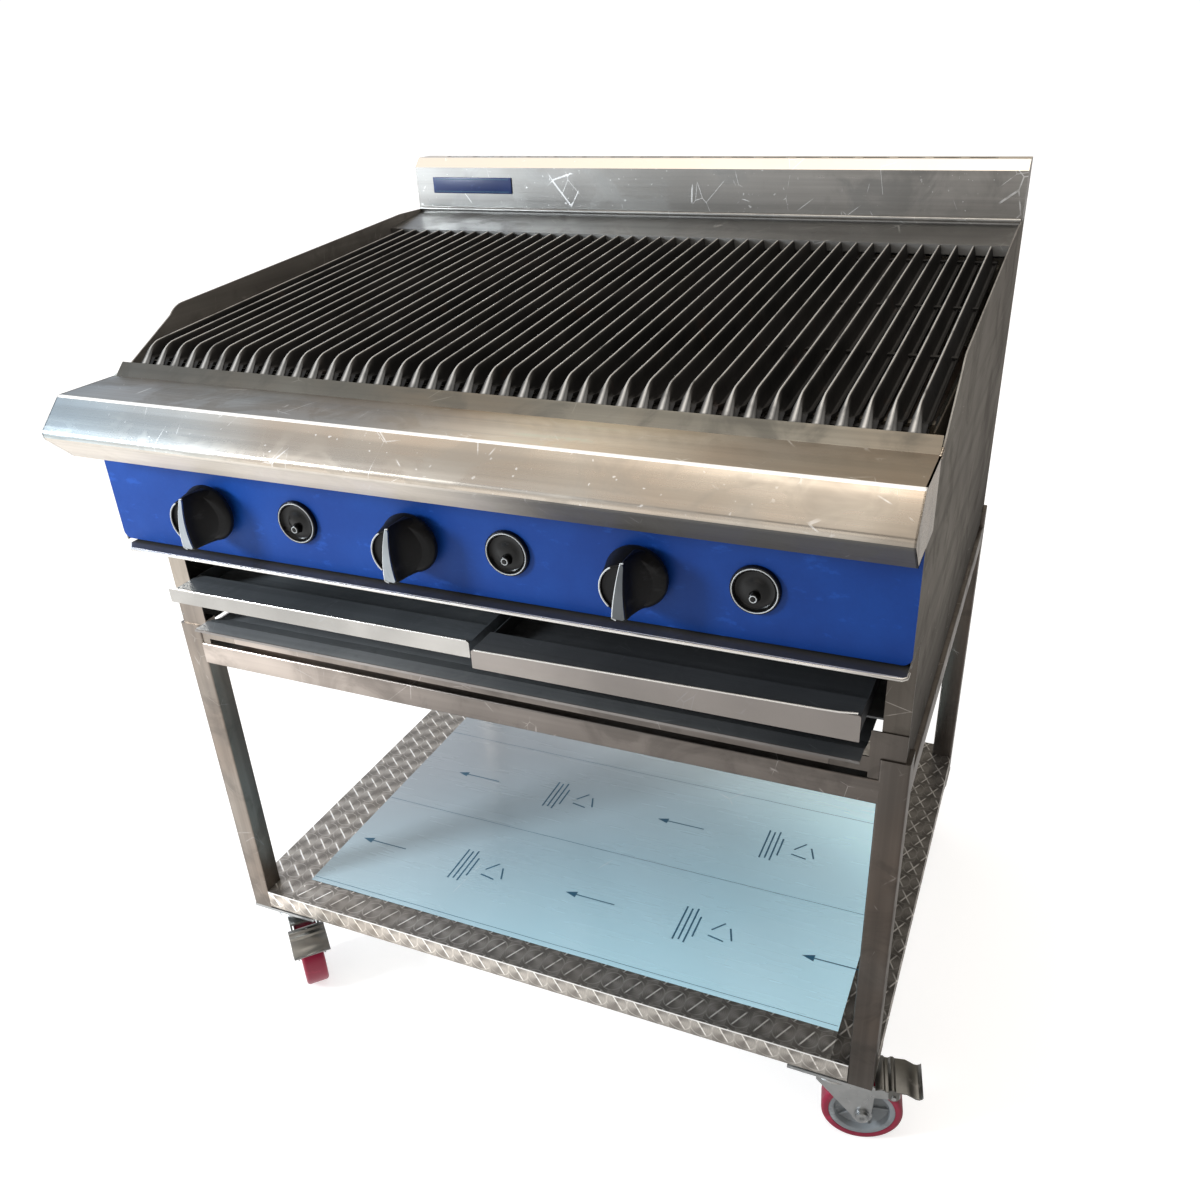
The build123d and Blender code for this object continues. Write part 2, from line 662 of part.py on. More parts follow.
def rear_panel():
    """The back sheet, set in from the sides, with a hole for the gas inlet."""
    panel = box(-HALF + SHEET, HALF - SHEET, REAR_PANEL_Y, REAR_PANEL_Y + SHEET, BASE_BOTTOM, 996.0)
    return panel - rod((PIPE_X, REAR_PANEL_Y - 5, PIPE_Z), (PIPE_X, REAR_PANEL_Y + 5, PIPE_Z), PIPE_R)


def burners():
    """Three ring-shaped burners, each with a venturi tube that points at its valve."""
    return Compound([burner((i - 1) * BURNER_PITCH) for i in range(3)])


def burner(x):
    """A flat ring casting, open in the middle, with its hollow mixing tube in front."""
    inner = BURNER_HOLE_HALF
    body = box(x - BURNER_HALF, x + BURNER_HALF, *BURNER_Y, *BURNER_Z)
    body -= box(x - inner, x + inner, *BURNER_HOLE_Y, BURNER_Z[0] - 20, BURNER_Z[1] + 20)
    body = fillet(body.edges().filter_by(Axis.Z), 10.0)
    z = sum(BURNER_Z) / 2
    venturi = rod((x, VENTURI_FRONT_Y, z), (x, BURNER_Y[0], z), VENTURI_R)
    venturi -= rod((x, VENTURI_FRONT_Y - 4.0, z), (x, BURNER_Y[0] - 2.0, z), VENTURI_BORE_R)
    return body + venturi


def radiants():
    """Three slotted heat shields, one over each burner, bent like low roofs."""
    shields = []
    for i in range(3):
        x = (i - 1) * BURNER_PITCH
        ridges = []
        for step in range(-2, 3):
            high = RADIANT_HIGH if step % 2 else RADIANT_LOW
            ridges.append((x + step * RADIANT_RIDGE, high))
        roof = make_face(Polyline(*fold(ridges, -RADIANT_SHEET), close=True))
        shield = front_outline(roof, *RADIANT_Y)
        for row in range(RADIANT_ROWS):
            y = RADIANT_Y[0] + 30.0 + row * RADIANT_ROW_PITCH
            for slope in (-1.5, -0.5, 0.5, 1.5):
                slot = Pos(x + slope * RADIANT_RIDGE, y, 880.0) * Box(*RADIANT_SLOT, 40.0)
                shield -= slot
        shields.append(shield)
    return Compound(shields)


def gas_manifold():
    """The supply pipe: from the inlet at the back, forward along the right side, then across."""
    inlet_y = REAR_PANEL_Y + SHEET
    runs = [(-PIPE_X, MANIFOLD_Y, CONTROL_Z), (PIPE_X, MANIFOLD_Y, CONTROL_Z),
            (PIPE_X, MANIFOLD_Y, PIPE_Z), (PIPE_X, inlet_y, PIPE_Z)]
    pipe = rod(runs[0], runs[1], PIPE_R)
    for a, b in zip(runs[1:], runs[2:]):
        pipe += rod(a, b, PIPE_R)
    for corner in runs[1:3]:
        pipe += Pos(*corner) * Sphere(PIPE_R)
    nut = Plane(origin=runs[-1], z_dir=(0, 1, 0)) * RegularPolygon(INLET_NUT_R, 6)
    pipe += extrude(nut, amount=INLET_NUT_THICK)
    start_y = inlet_y + INLET_NUT_THICK
    return pipe + rod((PIPE_X, start_y, PIPE_Z), (PIPE_X, start_y + INLET_LENGTH, PIPE_Z), INLET_R)


def gas_valves():
    """Three gas cocks on the manifold, each bored for its spindle."""
    valves = []
    z = CONTROL_Z
    pipe = rod((-HALF, MANIFOLD_Y, z), (HALF, MANIFOLD_Y, z), PIPE_R)
    body_front = PANEL_Y + 6.0
    for x in KNOB_X:
        valve = box(
            x - VALVE_HALF_X, x + VALVE_HALF_X, body_front, MANIFOLD_Y - 8.0,
            z - VALVE_HALF_Z, z + VALVE_HALF_Z,
        )
        valve = fillet(valve.edges().filter_by(Axis.Y), 4.0)
        valve += rod((x, MANIFOLD_Y - 9.0, z), (x, MANIFOLD_Y, z), 9.0)
        valve += rod((x, PANEL_Y + PANEL_THICK + 0.5, z), (x, body_front + 1.0, z), 7.5)
        valve += rod((x, MANIFOLD_Y - 20.0, z + 10.0), (x, MANIFOLD_Y - 20.0, z + 24.0), 5.0)
        valve -= pipe
        bore_end = PANEL_Y + SPINDLE_IN + 5.0
        valve -= rod((x, PANEL_Y, z), (x, bore_end, z), SPINDLE_R + RUNNING_FIT)
        valves.append(valve)
    return Compound(valves)


def spindle(x):
    """A valve spindle: a plain round rod from inside the valve to inside the knob."""
    front = (x, PANEL_Y - SPINDLE_OUT, CONTROL_Z)
    return rod(front, (x, PANEL_Y + SPINDLE_IN, CONTROL_Z), SPINDLE_R)


def knob(x, angle):
    """A knob: a round skirt, a cone in front of it and a tall tapered grip across the cone."""
    z = CONTROL_Z
    back = PANEL_Y - KNOB_GAP
    face_y = back - KNOB_SKIRT
    skirt = rod((x, back, z), (x, face_y, z), KNOB_R)
    front = Plane(origin=(x, face_y, z), x_dir=(1, 0, 0), z_dir=(0, -1, 0))
    deep, taper = KNOB_CONE
    cone = extrude(front * Circle(KNOB_R - 2.0), amount=deep, taper=taper)
    grip = extrude(front * Rectangle(*KNOB_GRIP), amount=KNOB_DEEP - KNOB_SKIRT, taper=4)
    grip = fillet(grip.edges().group_by(Axis.Y)[0], 3.0)
    body = skirt + cone + grip
    hole_end = PANEL_Y - SPINDLE_OUT - 0.5
    body -= rod((x, back + 1.0, z), (x, hole_end, z), SPINDLE_R + RUNNING_FIT)
    return body.rotate(Axis((x, 0, z), (0, 1, 0)), angle)


def igniter_bezels():
    """Three igniter housings: a dished bezel outside the fascia and a barrel behind it."""
    bezels = []
    for x in IGNITER_X:
        profile = [
            (0.0, PANEL_Y + BARREL_DEEP), (BARREL_R, PANEL_Y + BARREL_DEEP), (BARREL_R, PANEL_Y),
            (BEZEL_R, PANEL_Y), (BEZEL_R, PANEL_Y - 3.0), (BEZEL_R - 2.5, PANEL_Y - 5.0),
            (BEZEL_R - 5.0, PANEL_Y - 4.0), (BEZEL_R - 6.5, PANEL_Y - 2.0), (0.0, PANEL_Y - 2.0),
        ]
        face = make_face(Polyline(*profile, close=True))
        bezel = Pos(x, 0, CONTROL_Z) * revolve(face, Axis.Y, 360)
        low = CONTROL_Z - BUTTON_DROP
        bezel -= rod((x, PANEL_Y - 10.0, low), (x, PANEL_Y + 30.0, low), BUTTON_R + 0.2)
        bezels.append(bezel)
    return Compound(bezels)


def igniter_button(x):
    """A round push button with a softly domed end."""
    low = CONTROL_Z - BUTTON_DROP
    button = rod((x, PANEL_Y + 18.0, low), (x, PANEL_Y - 9.0, low), BUTTON_R)
    return fillet(button.edges().group_by(Axis.Y)[0], 1.5)


def grate(index):
    """A cast grate: tapered bars with grease feet, tied by rails, with drooping noses."""
    centre = (index - (GRATES - 1) / 2) * BARS * BAR_PITCH
    half_top = BAR_TOP_WIDE / 2
    foot = BAR_FOOT_HALF
    section = [
        (-half_top, 1.0), (half_top, 1.0), (foot - 2.5, 3.5 - BAR_HEIGHT), (foot, 3.0 - BAR_HEIGHT),
        (foot, -BAR_HEIGHT), (-foot, -BAR_HEIGHT), (-foot, 3.0 - BAR_HEIGHT),
        (2.5 - foot, 3.5 - BAR_HEIGHT),
    ]
    slope = math.radians(BAR_SLOPE)
    rear_y = GRATE_REAR_Y + 5.0
    start = Plane(origin=(0, rear_y, ridge_z(rear_y)), x_dir=(1, 0, 0), z_dir=(0, -1, -math.tan(slope)))
    bar = extrude(start * make_face(Polyline(*section, close=True)), amount=rear_y - BAR_NOSE_Y + 25.0)
    # the side view of a bar: level behind, bent down to the nose in front
    side = [
        (GRATE_REAR_Y, ridge_z(GRATE_REAR_Y) - BAR_HEIGHT - 3), (GRATE_REAR_Y, ridge_z(GRATE_REAR_Y)),
    ]
    bend = (BAR_BEND_Y + BAR_BEND_R * math.sin(slope), BAR_BEND_Z - BAR_BEND_R * math.cos(slope))
    turn(side, bend, 90.0 + BAR_SLOPE, 90.0 + BAR_DROOP, BAR_BEND_R, 5)
    side += [(BAR_NOSE_Y, BAR_NOSE_Z), (BAR_NOSE_Y, BAR_NOSE_Z - 6.0),
             (BAR_NOSE_Y + 6.0, ridge_z(BAR_NOSE_Y) - BAR_HEIGHT - 3)]
    bar = bar & side_outline(side, -10.0, 10.0)
    bar += Pos(0, BAR_NOSE_Y + 5.0, BAR_NOSE_Z - 3.5) * Sphere(BAR_NOSE_R)
    bar += Pos(-6.5, BAR_NOSE_Y + 1.0, BAR_NOSE_Z + 1.5) * Sphere(BAR_BEAD_R)
    bars = [Pos(centre + (i - (BARS - 1) / 2) * BAR_PITCH, 0, 0) * bar for i in range(BARS)]
    casting = bars[0]
    for piece in bars[1:]:
        casting += piece
    reach = BARS * BAR_PITCH / 2 - 0.6
    for y, wide in ((BAR_NOSE_Y + 6.0, 9.0), (-90.0, 8.0), (70.0, 8.0), (GRATE_REAR_Y - 12.0, 12.0)):
        low = ridge_z(y) - BAR_HEIGHT + math.tan(slope) * wide / 2
        casting += box(centre - reach, centre + reach, y - wide / 2, y + wide / 2, low, low + 7.0)
    return casting


parts = {
    "stand_legs": stand_legs(),
    "stand_beams": stand_beams(),
    "shelf": shelf(),
    "film_sheet": box(*FILM_X, *FILM_Y, SHELF_TOP, SHELF_TOP + FILM_THICK),
    "castor_mounts": castor_mounts(),
    "castor_plates": castor_plates(),
    "castor_bolts": castor_bolts(),
    "left_side_panel": side_panel(-1),
    "right_side_panel": side_panel(1),
    "front_posts": front_posts(),
    "corner_feet": corner_feet(),
    "base_rail": base_rail(),
    "base_pan": base_pan(),
    "tray_runners": tray_runners(),
    "control_panel": control_panel(),
    "control_box_floor": control_box_floor(),
    "front_nosing": front_nosing(),
    "firebox_front_wall": firebox_front_wall(),
    "firebox_liners": firebox_liners(),
    "grate_supports": grate_supports(),
    "rear_ledge": rear_ledge(),
    "splashback": splashback(),
    "badge_plate": badge_plate(),
    "rear_panel": rear_panel(),
    "burners": burners(),
    "radiants": radiants(),
    "gas_manifold": gas_manifold(),
    "gas_valves": gas_valves(),
    "igniter_bezels": igniter_bezels(),
    "drip_tray_left": tray(-421.0, -14.0, -318.0, -430.0, -14.0, 0.0, 2.0),
    "drip_tray_right": tray(0.0, 408.0, -336.0, -1.0, 410.0, 4.0, 11.0),
}

for number, x in enumerate(KNOB_X, start=1):
    parts[f"valve_spindle_{number}"] = spindle(x)
    parts[f"knob_{number}"] = knob(x, KNOB_ANGLES[number - 1])
for number, x in enumerate(IGNITER_X, start=1):
    parts[f"igniter_button_{number}"] = igniter_button(x)
for number in range(GRATES):
    parts[f"grate_{number + 1}"] = grate(number)
for name, x, y, heading, braked in CASTORS:
    placed = Pos(x, y, 0) * Rot(0, 0, heading)
    parts[f"fork_{name}"] = Compound([placed * piece for piece in fork(braked)])
    parts[f"hub_{name}"] = placed * wheel_hub()
    parts[f"tyre_{name}"] = placed * tyre()
    if braked:
        parts[f"brake_pedal_{name}"] = placed * pedal()

os.makedirs("parts", exist_ok=True)
for node, shape in parts.items():
    export_step(shape, f"parts/{node}.step")
print(len(parts), "nodes")
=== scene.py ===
import json
import math
import random

import bmesh
import bpy
from mathutils import Matrix, Vector


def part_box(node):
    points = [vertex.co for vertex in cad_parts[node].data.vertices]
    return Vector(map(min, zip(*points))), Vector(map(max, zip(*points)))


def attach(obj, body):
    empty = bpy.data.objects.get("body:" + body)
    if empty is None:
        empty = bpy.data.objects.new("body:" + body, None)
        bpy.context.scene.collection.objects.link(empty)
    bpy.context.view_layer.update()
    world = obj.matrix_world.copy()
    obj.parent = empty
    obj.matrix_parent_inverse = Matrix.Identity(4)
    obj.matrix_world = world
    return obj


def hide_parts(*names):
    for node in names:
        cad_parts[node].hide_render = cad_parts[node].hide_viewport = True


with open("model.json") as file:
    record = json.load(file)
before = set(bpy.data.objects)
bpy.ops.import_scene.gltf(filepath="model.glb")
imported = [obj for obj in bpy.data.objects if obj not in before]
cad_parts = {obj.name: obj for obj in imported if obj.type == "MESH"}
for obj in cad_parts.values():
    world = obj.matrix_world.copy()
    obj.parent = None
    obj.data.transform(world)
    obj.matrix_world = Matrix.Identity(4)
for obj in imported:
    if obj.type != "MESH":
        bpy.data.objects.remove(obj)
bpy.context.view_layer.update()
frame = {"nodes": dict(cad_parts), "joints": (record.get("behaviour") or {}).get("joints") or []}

random.seed(7)
ROOT = "grill_and_stand"
NODES = frame["nodes"]
JOINTS = {j["name"]: j for j in frame["joints"]}
MM = 0.001


# -------------------- node helpers


class Sock:
    """A socket that takes arithmetic, so a material reads like a formula."""

    def __init__(self, tree, socket):
        self.tree, self.socket = tree, socket

    def op(self, kind, *others):
        node = self.tree.nodes.new("ShaderNodeMath")
        node.operation = kind
        for i, value in enumerate((self, *others)):
            put(self.tree, value, node.inputs[i])
        return Sock(self.tree, node.outputs[0])

    def __add__(self, o):
        return self.op("ADD", o)

    def __sub__(self, o):
        return self.op("SUBTRACT", o)

    def __mul__(self, o):
        return self.op("MULTIPLY", o)

    def __truediv__(self, o):
        return self.op("DIVIDE", o)

    def above(self, edge, soft):
        """0 below the edge and 1 above it, with a soft step."""
        node = self.tree.nodes.new("ShaderNodeMapRange")
        node.interpolation_type = "SMOOTHSTEP"
        put(self.tree, self, node.inputs["Value"])
        node.inputs["From Min"].default_value = edge - soft
        node.inputs["From Max"].default_value = edge + soft
        return Sock(self.tree, node.outputs[0])

    def span(self, low, high):
        """Stretches 0..1 to low..high."""
        return self * (high - low) + low


def put(tree, value, socket):
    if isinstance(value, Sock):
        tree.links.new(value.socket, socket)
    elif isinstance(value, (tuple, list)) and len(value) == 3 and socket.type == "RGBA":
        socket.default_value = (*value, 1.0)
    else:
        socket.default_value = value


def mix_colours(tree, factor, a, b):
    node = tree.nodes.new("ShaderNodeMix")
    node.data_type = "RGBA"
    put(tree, factor, node.inputs["Factor"])
    put(tree, a, node.inputs["A"])
    put(tree, b, node.inputs["B"])
    return Sock(tree, [s for s in node.outputs if s.type == "RGBA"][0])


def scaled(colour, factor, extra=0.0):
    """A colour made darker or lighter, never above 1."""
    return tuple(min(1.0, c * factor + extra) for c in colour)


class Mat:
    """A Principled material with short calls for its textures."""

    def __init__(self, name, **fixed):
        self.mat = bpy.data.materials.new(name)
        self.mat.use_nodes = True
        self.tree = self.mat.node_tree
        self.shader = self.tree.nodes["Principled BSDF"]
        for key, value in fixed.items():
            self.set(key.replace("_", " "), value)
        coords = self.tree.nodes.new("ShaderNodeTexCoord")
        self.object = coords.outputs["Object"]
        split = self.tree.nodes.new("ShaderNodeSeparateXYZ")
        self.tree.links.new(self.object, split.inputs[0])
        self.x, self.y, self.z = (Sock(self.tree, s) for s in split.outputs)

    def set(self, key, value):
        put(self.tree, value, self.shader.inputs[key])

    def coords(self, stretch, offset):
        node = self.tree.nodes.new("ShaderNodeMapping")
        self.tree.links.new(self.object, node.inputs["Vector"])
        node.inputs["Scale"].default_value = stretch
        node.inputs["Location"].default_value = (offset, offset * 0.37, offset * 0.71)
        return node.outputs[0]

    def noise(self, scale, stretch=(1, 1, 1), detail=3.0, rough=0.55, offset=0.0, twist=0.0):
        node = self.tree.nodes.new("ShaderNodeTexNoise")
        self.tree.links.new(self.coords(stretch, offset), node.inputs["Vector"])
        node.inputs["Scale"].default_value = scale
        node.inputs["Detail"].default_value = detail
        node.inputs["Roughness"].default_value = rough
        node.inputs["Distortion"].default_value = twist
        return Sock(self.tree, node.outputs["Fac"])

    def edges(self, scale, stretch=(1, 1, 1), offset=0.0):
        """Distance to the edges of random cells: its small values make thin random lines."""
        node = self.tree.nodes.new("ShaderNodeTexVoronoi")
        node.feature = "DISTANCE_TO_EDGE"
        self.tree.links.new(self.coords(stretch, offset), node.inputs["Vector"])
        node.inputs["Scale"].default_value = scale
        return Sock(self.tree, node.outputs["Distance"])

    def mix(self, factor, a, b):
        return mix_colours(self.tree, factor, a, b)

    def tint(self, factor, tone, colour):
        """Multiplies the tone by a colour."""
        mixed = self.mix(factor, tone, colour)
        mixed.socket.node.blend_type = "MULTIPLY"
        return mixed

    def facing_up(self):
        split = self.tree.nodes.new("ShaderNodeSeparateXYZ")
        node = self.tree.nodes.new("ShaderNodeNewGeometry")
        self.tree.links.new(node.outputs["Normal"], split.inputs[0])
        return Sock(self.tree, split.outputs["Z"])

    def attribute(self, name):
        node = self.tree.nodes.new("ShaderNodeAttribute")
        node.attribute_name = name
        return Sock(self.tree, node.outputs["Fac"])

    def bump(self, height, strength, distance):
        node = self.tree.nodes.new("ShaderNodeBump")
        put(self.tree, height, node.inputs["Height"])
        node.inputs["Strength"].default_value = strength
        node.inputs["Distance"].default_value = distance
        self.tree.links.new(node.outputs[0], self.shader.inputs["Normal"])


BRUSH = {"x": (3, 260, 260), "y": (260, 3, 260), "z": (260, 260, 3)}
MIDDLE = (0.0, 0.45)


def steel(name, light, dark, rough, grime, scratch, brush="x", warm=None, offset=0.0, metal=1.0, edge=None,
          specks=0.0, shade_below=None, ends=None, edge_ends=None, turn=MIDDLE, up=None, painted_glare=None, **fixed):
    """Brushed sheet steel with smears, fine scratches and a broad change of tone.

    edge is (depth, colour): in front of that depth in metres the sheet has the brighter colour, painted light
    on the front;
    fade is (height, height, share) and darkens the sheet between two heights, painted shade towards the
    bottom;
    ends gives the colours that multiply the tone at the left and the right end, painted light and shade along
    the sheet, and turn is the middle and half the width of the change between them; edge_ends does the same
    for the edge;
    up is the tone of the faces that look upwards, painted light on the tops;
    flare is (x, half width, colour) of a bright stretch, a painted highlight.
    """
    m = Mat(name, Metallic=metal, **fixed)
    grain = m.noise(1.0, BRUSH[brush], detail=4.0, offset=offset)
    streak = m.noise(1.0, tuple(c * 0.12 for c in BRUSH[brush]), detail=4.0, offset=offset + 40.0)
    broad = m.noise(3.2, detail=3.0, offset=offset + 3.0, twist=0.6)
    smear = m.noise(14.0, detail=5.0, rough=0.62, offset=offset + 9.0, twist=0.9)
    patch = smear.above(0.56, 0.09)
    tone = m.mix(broad.above(0.5, 0.22), dark, light)
    if warm:
        tone = m.mix(m.noise(5.0, offset=offset + 21.0).above(0.55, 0.18) * 0.6, tone, warm)
    tone = m.mix(grain.span(0.0, 0.45), tone, scaled(dark, 0.72))
    tone = m.mix(streak.above(0.56, 0.1) * 0.4, tone, scaled(dark, 0.55))
    tone = m.mix(patch * grime, tone, scaled(dark, 0.6))
    # painted shade: darker towards the bottom
    if shade_below:
        above, below, share = shade_below
        lit = m.z.above((above + below) / 2, (above - below) / 2)
        tone = m.mix(lit * -share + share, tone, scaled(dark, 0.25))
    # painted light and shade: the tone changes from the left end to the right
    if ends:
        tone = m.tint(1.0, tone, m.mix(m.x.above(*turn), *ends))
    # painted highlight: a bright stretch across the sheet
    if painted_glare:
        place, half, colour = painted_glare
        near = (m.x - place).op("ABSOLUTE").above(half, half) * -1.0 + 1.0
        tone = m.tint(near, tone, colour)
    # painted light: the front of the sheet is brighter
    if edge:
        depth, colour = edge
        front = m.mix(broad.above(0.5, 0.2), scaled(colour, 0.6), colour)
        if edge_ends:
            front = m.tint(1.0, front, m.mix(m.x.above(*turn), *edge_ends))
        tone = m.mix(m.y.op("LESS_THAN", depth), tone, front)
    # painted light: the faces that look upwards are lighter
    if up:
        tone = m.mix(m.facing_up().above(0.55, 0.1), tone, up)
    lines = m.edges(9.0, (1.0, 1.6, 1.3), offset + 5.0).op("LESS_THAN", 0.006)
    cross = m.edges(17.0, (1.5, 0.7, 1.0), offset + 2.0).op("LESS_THAN", 0.006)
    broken = m.noise(21.0, offset=offset + 30.0).above(0.6, 0.04)
    marks = (lines + cross).op("MINIMUM", 1.0) * broken * scratch
    if specks:
        dots = m.noise(190.0, detail=1.0, offset=offset + 50.0).above(0.75, 0.02)
        crowd = m.noise(6.0, offset=offset + 51.0).above(0.5, 0.1) * specks
        marks = (marks + dots * crowd).op("MINIMUM", 1.0)
    tone = m.mix(marks * 0.4, tone, scaled(light, 1.6, 0.1))
    m.set("Base Color", tone)
    m.set("Roughness", grain.span(rough - 0.07, rough + 0.09) + patch * 0.12 + marks * 0.12)
    m.bump(grain + marks * 0.6, 0.16, 0.00025)
    return m.mat


def flaky(name, base, light, rough, scale, strength, spread, metal=0.0, ends=None, **fixed):
    """A moulded, cast or painted finish: broad change of tone, fine grain and scuffs."""
    m = Mat(name, Metallic=metal, **fixed)
    broad = m.noise(9.0, detail=4.0)
    fine = m.noise(scale, detail=3.0, offset=4.0)
    scuff = m.noise(26.0, (1, 1, 2.2), detail=6.0, rough=0.7, offset=11.0).above(0.62, 0.05)
    tone = m.mix(broad.above(0.5, 0.2) * spread, base, light)
    tone = m.mix(fine.span(0.0, 0.25), tone, scaled(base, 0.6))
    tone = m.mix(scuff * 0.35, tone, scaled(light, 1.6, 0.02))
    # painted light and shade: the tone changes from the left end to the right
    if ends:
        tone = m.tint(1.0, tone, m.mix(m.x.above(0.1, 0.4), *ends))
    m.set("Base Color", tone)
    m.set("Roughness", fine.span(rough - 0.08, rough + 0.08) + scuff * 0.12)
    m.bump(fine, strength, 0.0004)
    return m.mat


def swirl_steel():
    """Engine-turned sheet: rows of overlapping polished spots, like scales, with painted highlights drawn as
    bright streaks and a painted sheen on each spot.
    """
    m = Mat("swirl_steel", Metallic=0.8)
    wide, high = 0.0285, 0.032
    wobble = m.noise(30.0, detail=2.0)
    drop = (m.z * -1.0 + 0.158).op("MAXIMUM", 0.0)
    row = (m.y - drop) / high + wobble * 0.04
    u = m.x / wide + row.op("FLOOR") * 0.5 + wobble * 0.05
    du = (u.op("FRACT") - 0.5) * wide
    dv = (row.op("FRACT") - 0.5) * high
    radius = (du * du + dv * dv).op("SQRT")
    # painted sheen: a light and dark bow-tie round the middle of each spot
    sheen_fan = (dv.op("ARCTAN2", du) * 2.0 + 0.6).op("COSINE") * 0.5 + 0.5
    rings = (radius * 2400.0 + m.noise(80.0) * 4.0).op("SINE") * 0.5 + 0.5
    bead = m.noise(90.0, (1, 0.5, 1), detail=3.0, offset=6.0).above(0.34, 0.14)

    def streak(angle):
        """A bright line through every spot, a painted highlight; it fades out towards its ends."""
        c, s = math.cos(math.radians(angle)), math.sin(math.radians(angle))
        across = (du * s - dv * c).op("ABSOLUTE")
        along = (du * c + dv * s).op("ABSOLUTE")
        return (across.above(0.0009, 0.0007) * -1.0 + 1.0) * (along.above(0.0135, 0.003) * -1.0 + 1.0)

    # the painted highlights lie at one angle on the top, at the opposite angle on the folded skirt and the
    # right strip, and at a third angle at the left, following how the light falls
    folded = drop.op("GREATER_THAN", 0.0001)
    left = m.x.op("LESS_THAN", -0.38)
    right = m.x.op("GREATER_THAN", 0.403)
    plain = ((folded + left) * -1.0 + 1.0).op("MAXIMUM", 0.0)
    lines = streak(62.0) * plain + streak(-62.0) * (folded + right).op("MINIMUM", 1.0)
    lines = lines + streak(-39.0) * left
    lines = lines.op("MINIMUM", 1.0) * (folded * -0.4 + 1.0)
    rim = (radius - 0.0145).op("ABSOLUTE").op("LESS_THAN", 0.0006)
    rim = rim * m.noise(45.0, offset=2.0).above(0.45, 0.1)
    # painted highlight: a bright line along the top of the folded skirt
    fold_glint = folded * drop.op("LESS_THAN", 0.0024)
    shine = (sheen_fan * 0.6 + rings * 0.16 + 0.1).op("MINIMUM", 1.0)
    tone = m.mix(shine, (0.12, 0.112, 0.105), (0.4, 0.385, 0.365))
    tone = m.mix(rim * 0.45, tone, (0.6, 0.59, 0.57))
    tone = m.mix(lines * bead * 0.95, tone, (1.0, 0.99, 0.97))
    dirt = m.noise(7.0, detail=5.0, twist=0.8).above(0.6, 0.1)
    tone = m.mix(dirt * 0.35, tone, (0.16, 0.14, 0.12))
    # painted light and shade: lighter at the left, darker on the right strip of the top, and lighter on the
    # folded skirt
    tone = m.tint(1.0, tone, m.mix(m.x.above(-0.05, 0.4), (1.25, 1.2, 1.15), (0.9, 0.89, 0.88)))
    tone = m.tint(right * (folded * -1.0 + 1.0), tone, (0.45, 0.44, 0.43))
    tone = m.tint(folded, tone, (1.7, 1.67, 1.63))
    tone = m.mix(fold_glint * 0.95, tone, (1.0, 0.99, 0.97))
    m.set("Base Color", tone)
    m.set("Roughness", rings.span(0.28, 0.42) + dirt * 0.15)
    m.bump(rings * 0.4 + lines * 1.4, 0.35, 0.0004)
    return m.mat


def cast_iron():
    """Seasoned black iron. The wear attribute marks the ridges, where it is rubbed bright and carries a
    painted highlight, strongest on the left flanks at the noses.
    """
    m = Mat("cast_iron", Specular_IOR_Level=0.15)
    wear_and_sheen = m.attribute("wear_and_sheen")
    grain = m.noise(240.0, detail=5.0)
    broad = m.noise(11.0, detail=4.0, offset=5.0)
    broken = m.noise(45.0, (1, 0.5, 1), detail=4.0, offset=8.0).above(0.36, 0.2)
    bright = wear_and_sheen * broken
    tone = m.mix(broad.above(0.5, 0.2), (0.006, 0.006, 0.006), (0.017, 0.016, 0.0155))
    rust = m.noise(30.0, detail=6.0, offset=13.0).above(0.66, 0.05)
    tone = m.mix(rust * 0.3, tone, (0.035, 0.02, 0.014))
    tone = m.mix(bright * 0.9, tone, (0.6, 0.58, 0.55))
    m.set("Base Color", tone)
    m.set("Metallic", bright * 0.5)
    m.set("Roughness", grain.span(0.46, 0.62) - bright * 0.12)
    m.bump(grain, 0.3, 0.0005)
    return m.mat


def film_skin():
    """Protective film on bright sheet: pale blue, glossy, with faint creases and haze."""
    m = Mat("film", Metallic=0.12, Coat_Weight=0.4, Coat_Roughness=0.12)
    haze = m.noise(3.0, detail=3.0, twist=0.5)
    fine = m.noise(1.0, (4, 40, 4), detail=3.0)
    crease = m.edges(5.0, (1.0, 0.45, 1.0), 3.0)
    line = crease.op("LESS_THAN", 0.003) * m.noise(9.0, offset=4.0).above(0.62, 0.04)
    # painted reflection: the film turns a saturated light blue towards the front right
    near = (m.x * 0.9 - m.y * 1.1).above(0.05, 0.5)
    tone = m.mix(near, (0.36, 0.39, 0.42), (0.52, 0.86, 1.0))
    # painted light: the film is brighter towards the back and the right
    tone = m.tint((m.y * -1.0 - m.x * 0.3).above(-0.22, 0.12) * -1.0 + 1.0, tone, (2.0, 1.95, 1.85))
    tone = m.mix(haze.above(0.5, 0.25) * near * 0.3, tone, (0.72, 0.9, 1.0))
    tone = m.mix(fine.span(0.0, 0.08), tone, (0.85, 0.95, 1.0))
    tone = m.mix(line * 0.5, tone, (0.95, 0.98, 1.0))
    m.set("Base Color", tone)
    m.set("Roughness", fine.span(0.22, 0.32))
    m.bump(haze * 0.6 + line, 0.07, 0.0008)
    return m.mat


# painted light and reflection: each pair multiplies a tone at the left end and at the right end
COOL_REFLECTION_TO_WARM = ((0.9, 1.08, 1.24), (0.95, 0.93, 0.9))
LIT_TO_SHADED = ((1.55, 1.5, 1.42), (0.68, 0.66, 0.64))
WARM = (0.5, 0.38, 0.28)
# the nosing: painted reflection, cool and bright at the left end, warmer to the right
STEEL = steel("stainless", (0.7, 0.66, 0.6), (0.4, 0.365, 0.32), 0.26, 0.35, 0.9, warm=WARM, specks=0.9,
              ends=COOL_REFLECTION_TO_WARM, turn=(-0.28, 0.14))
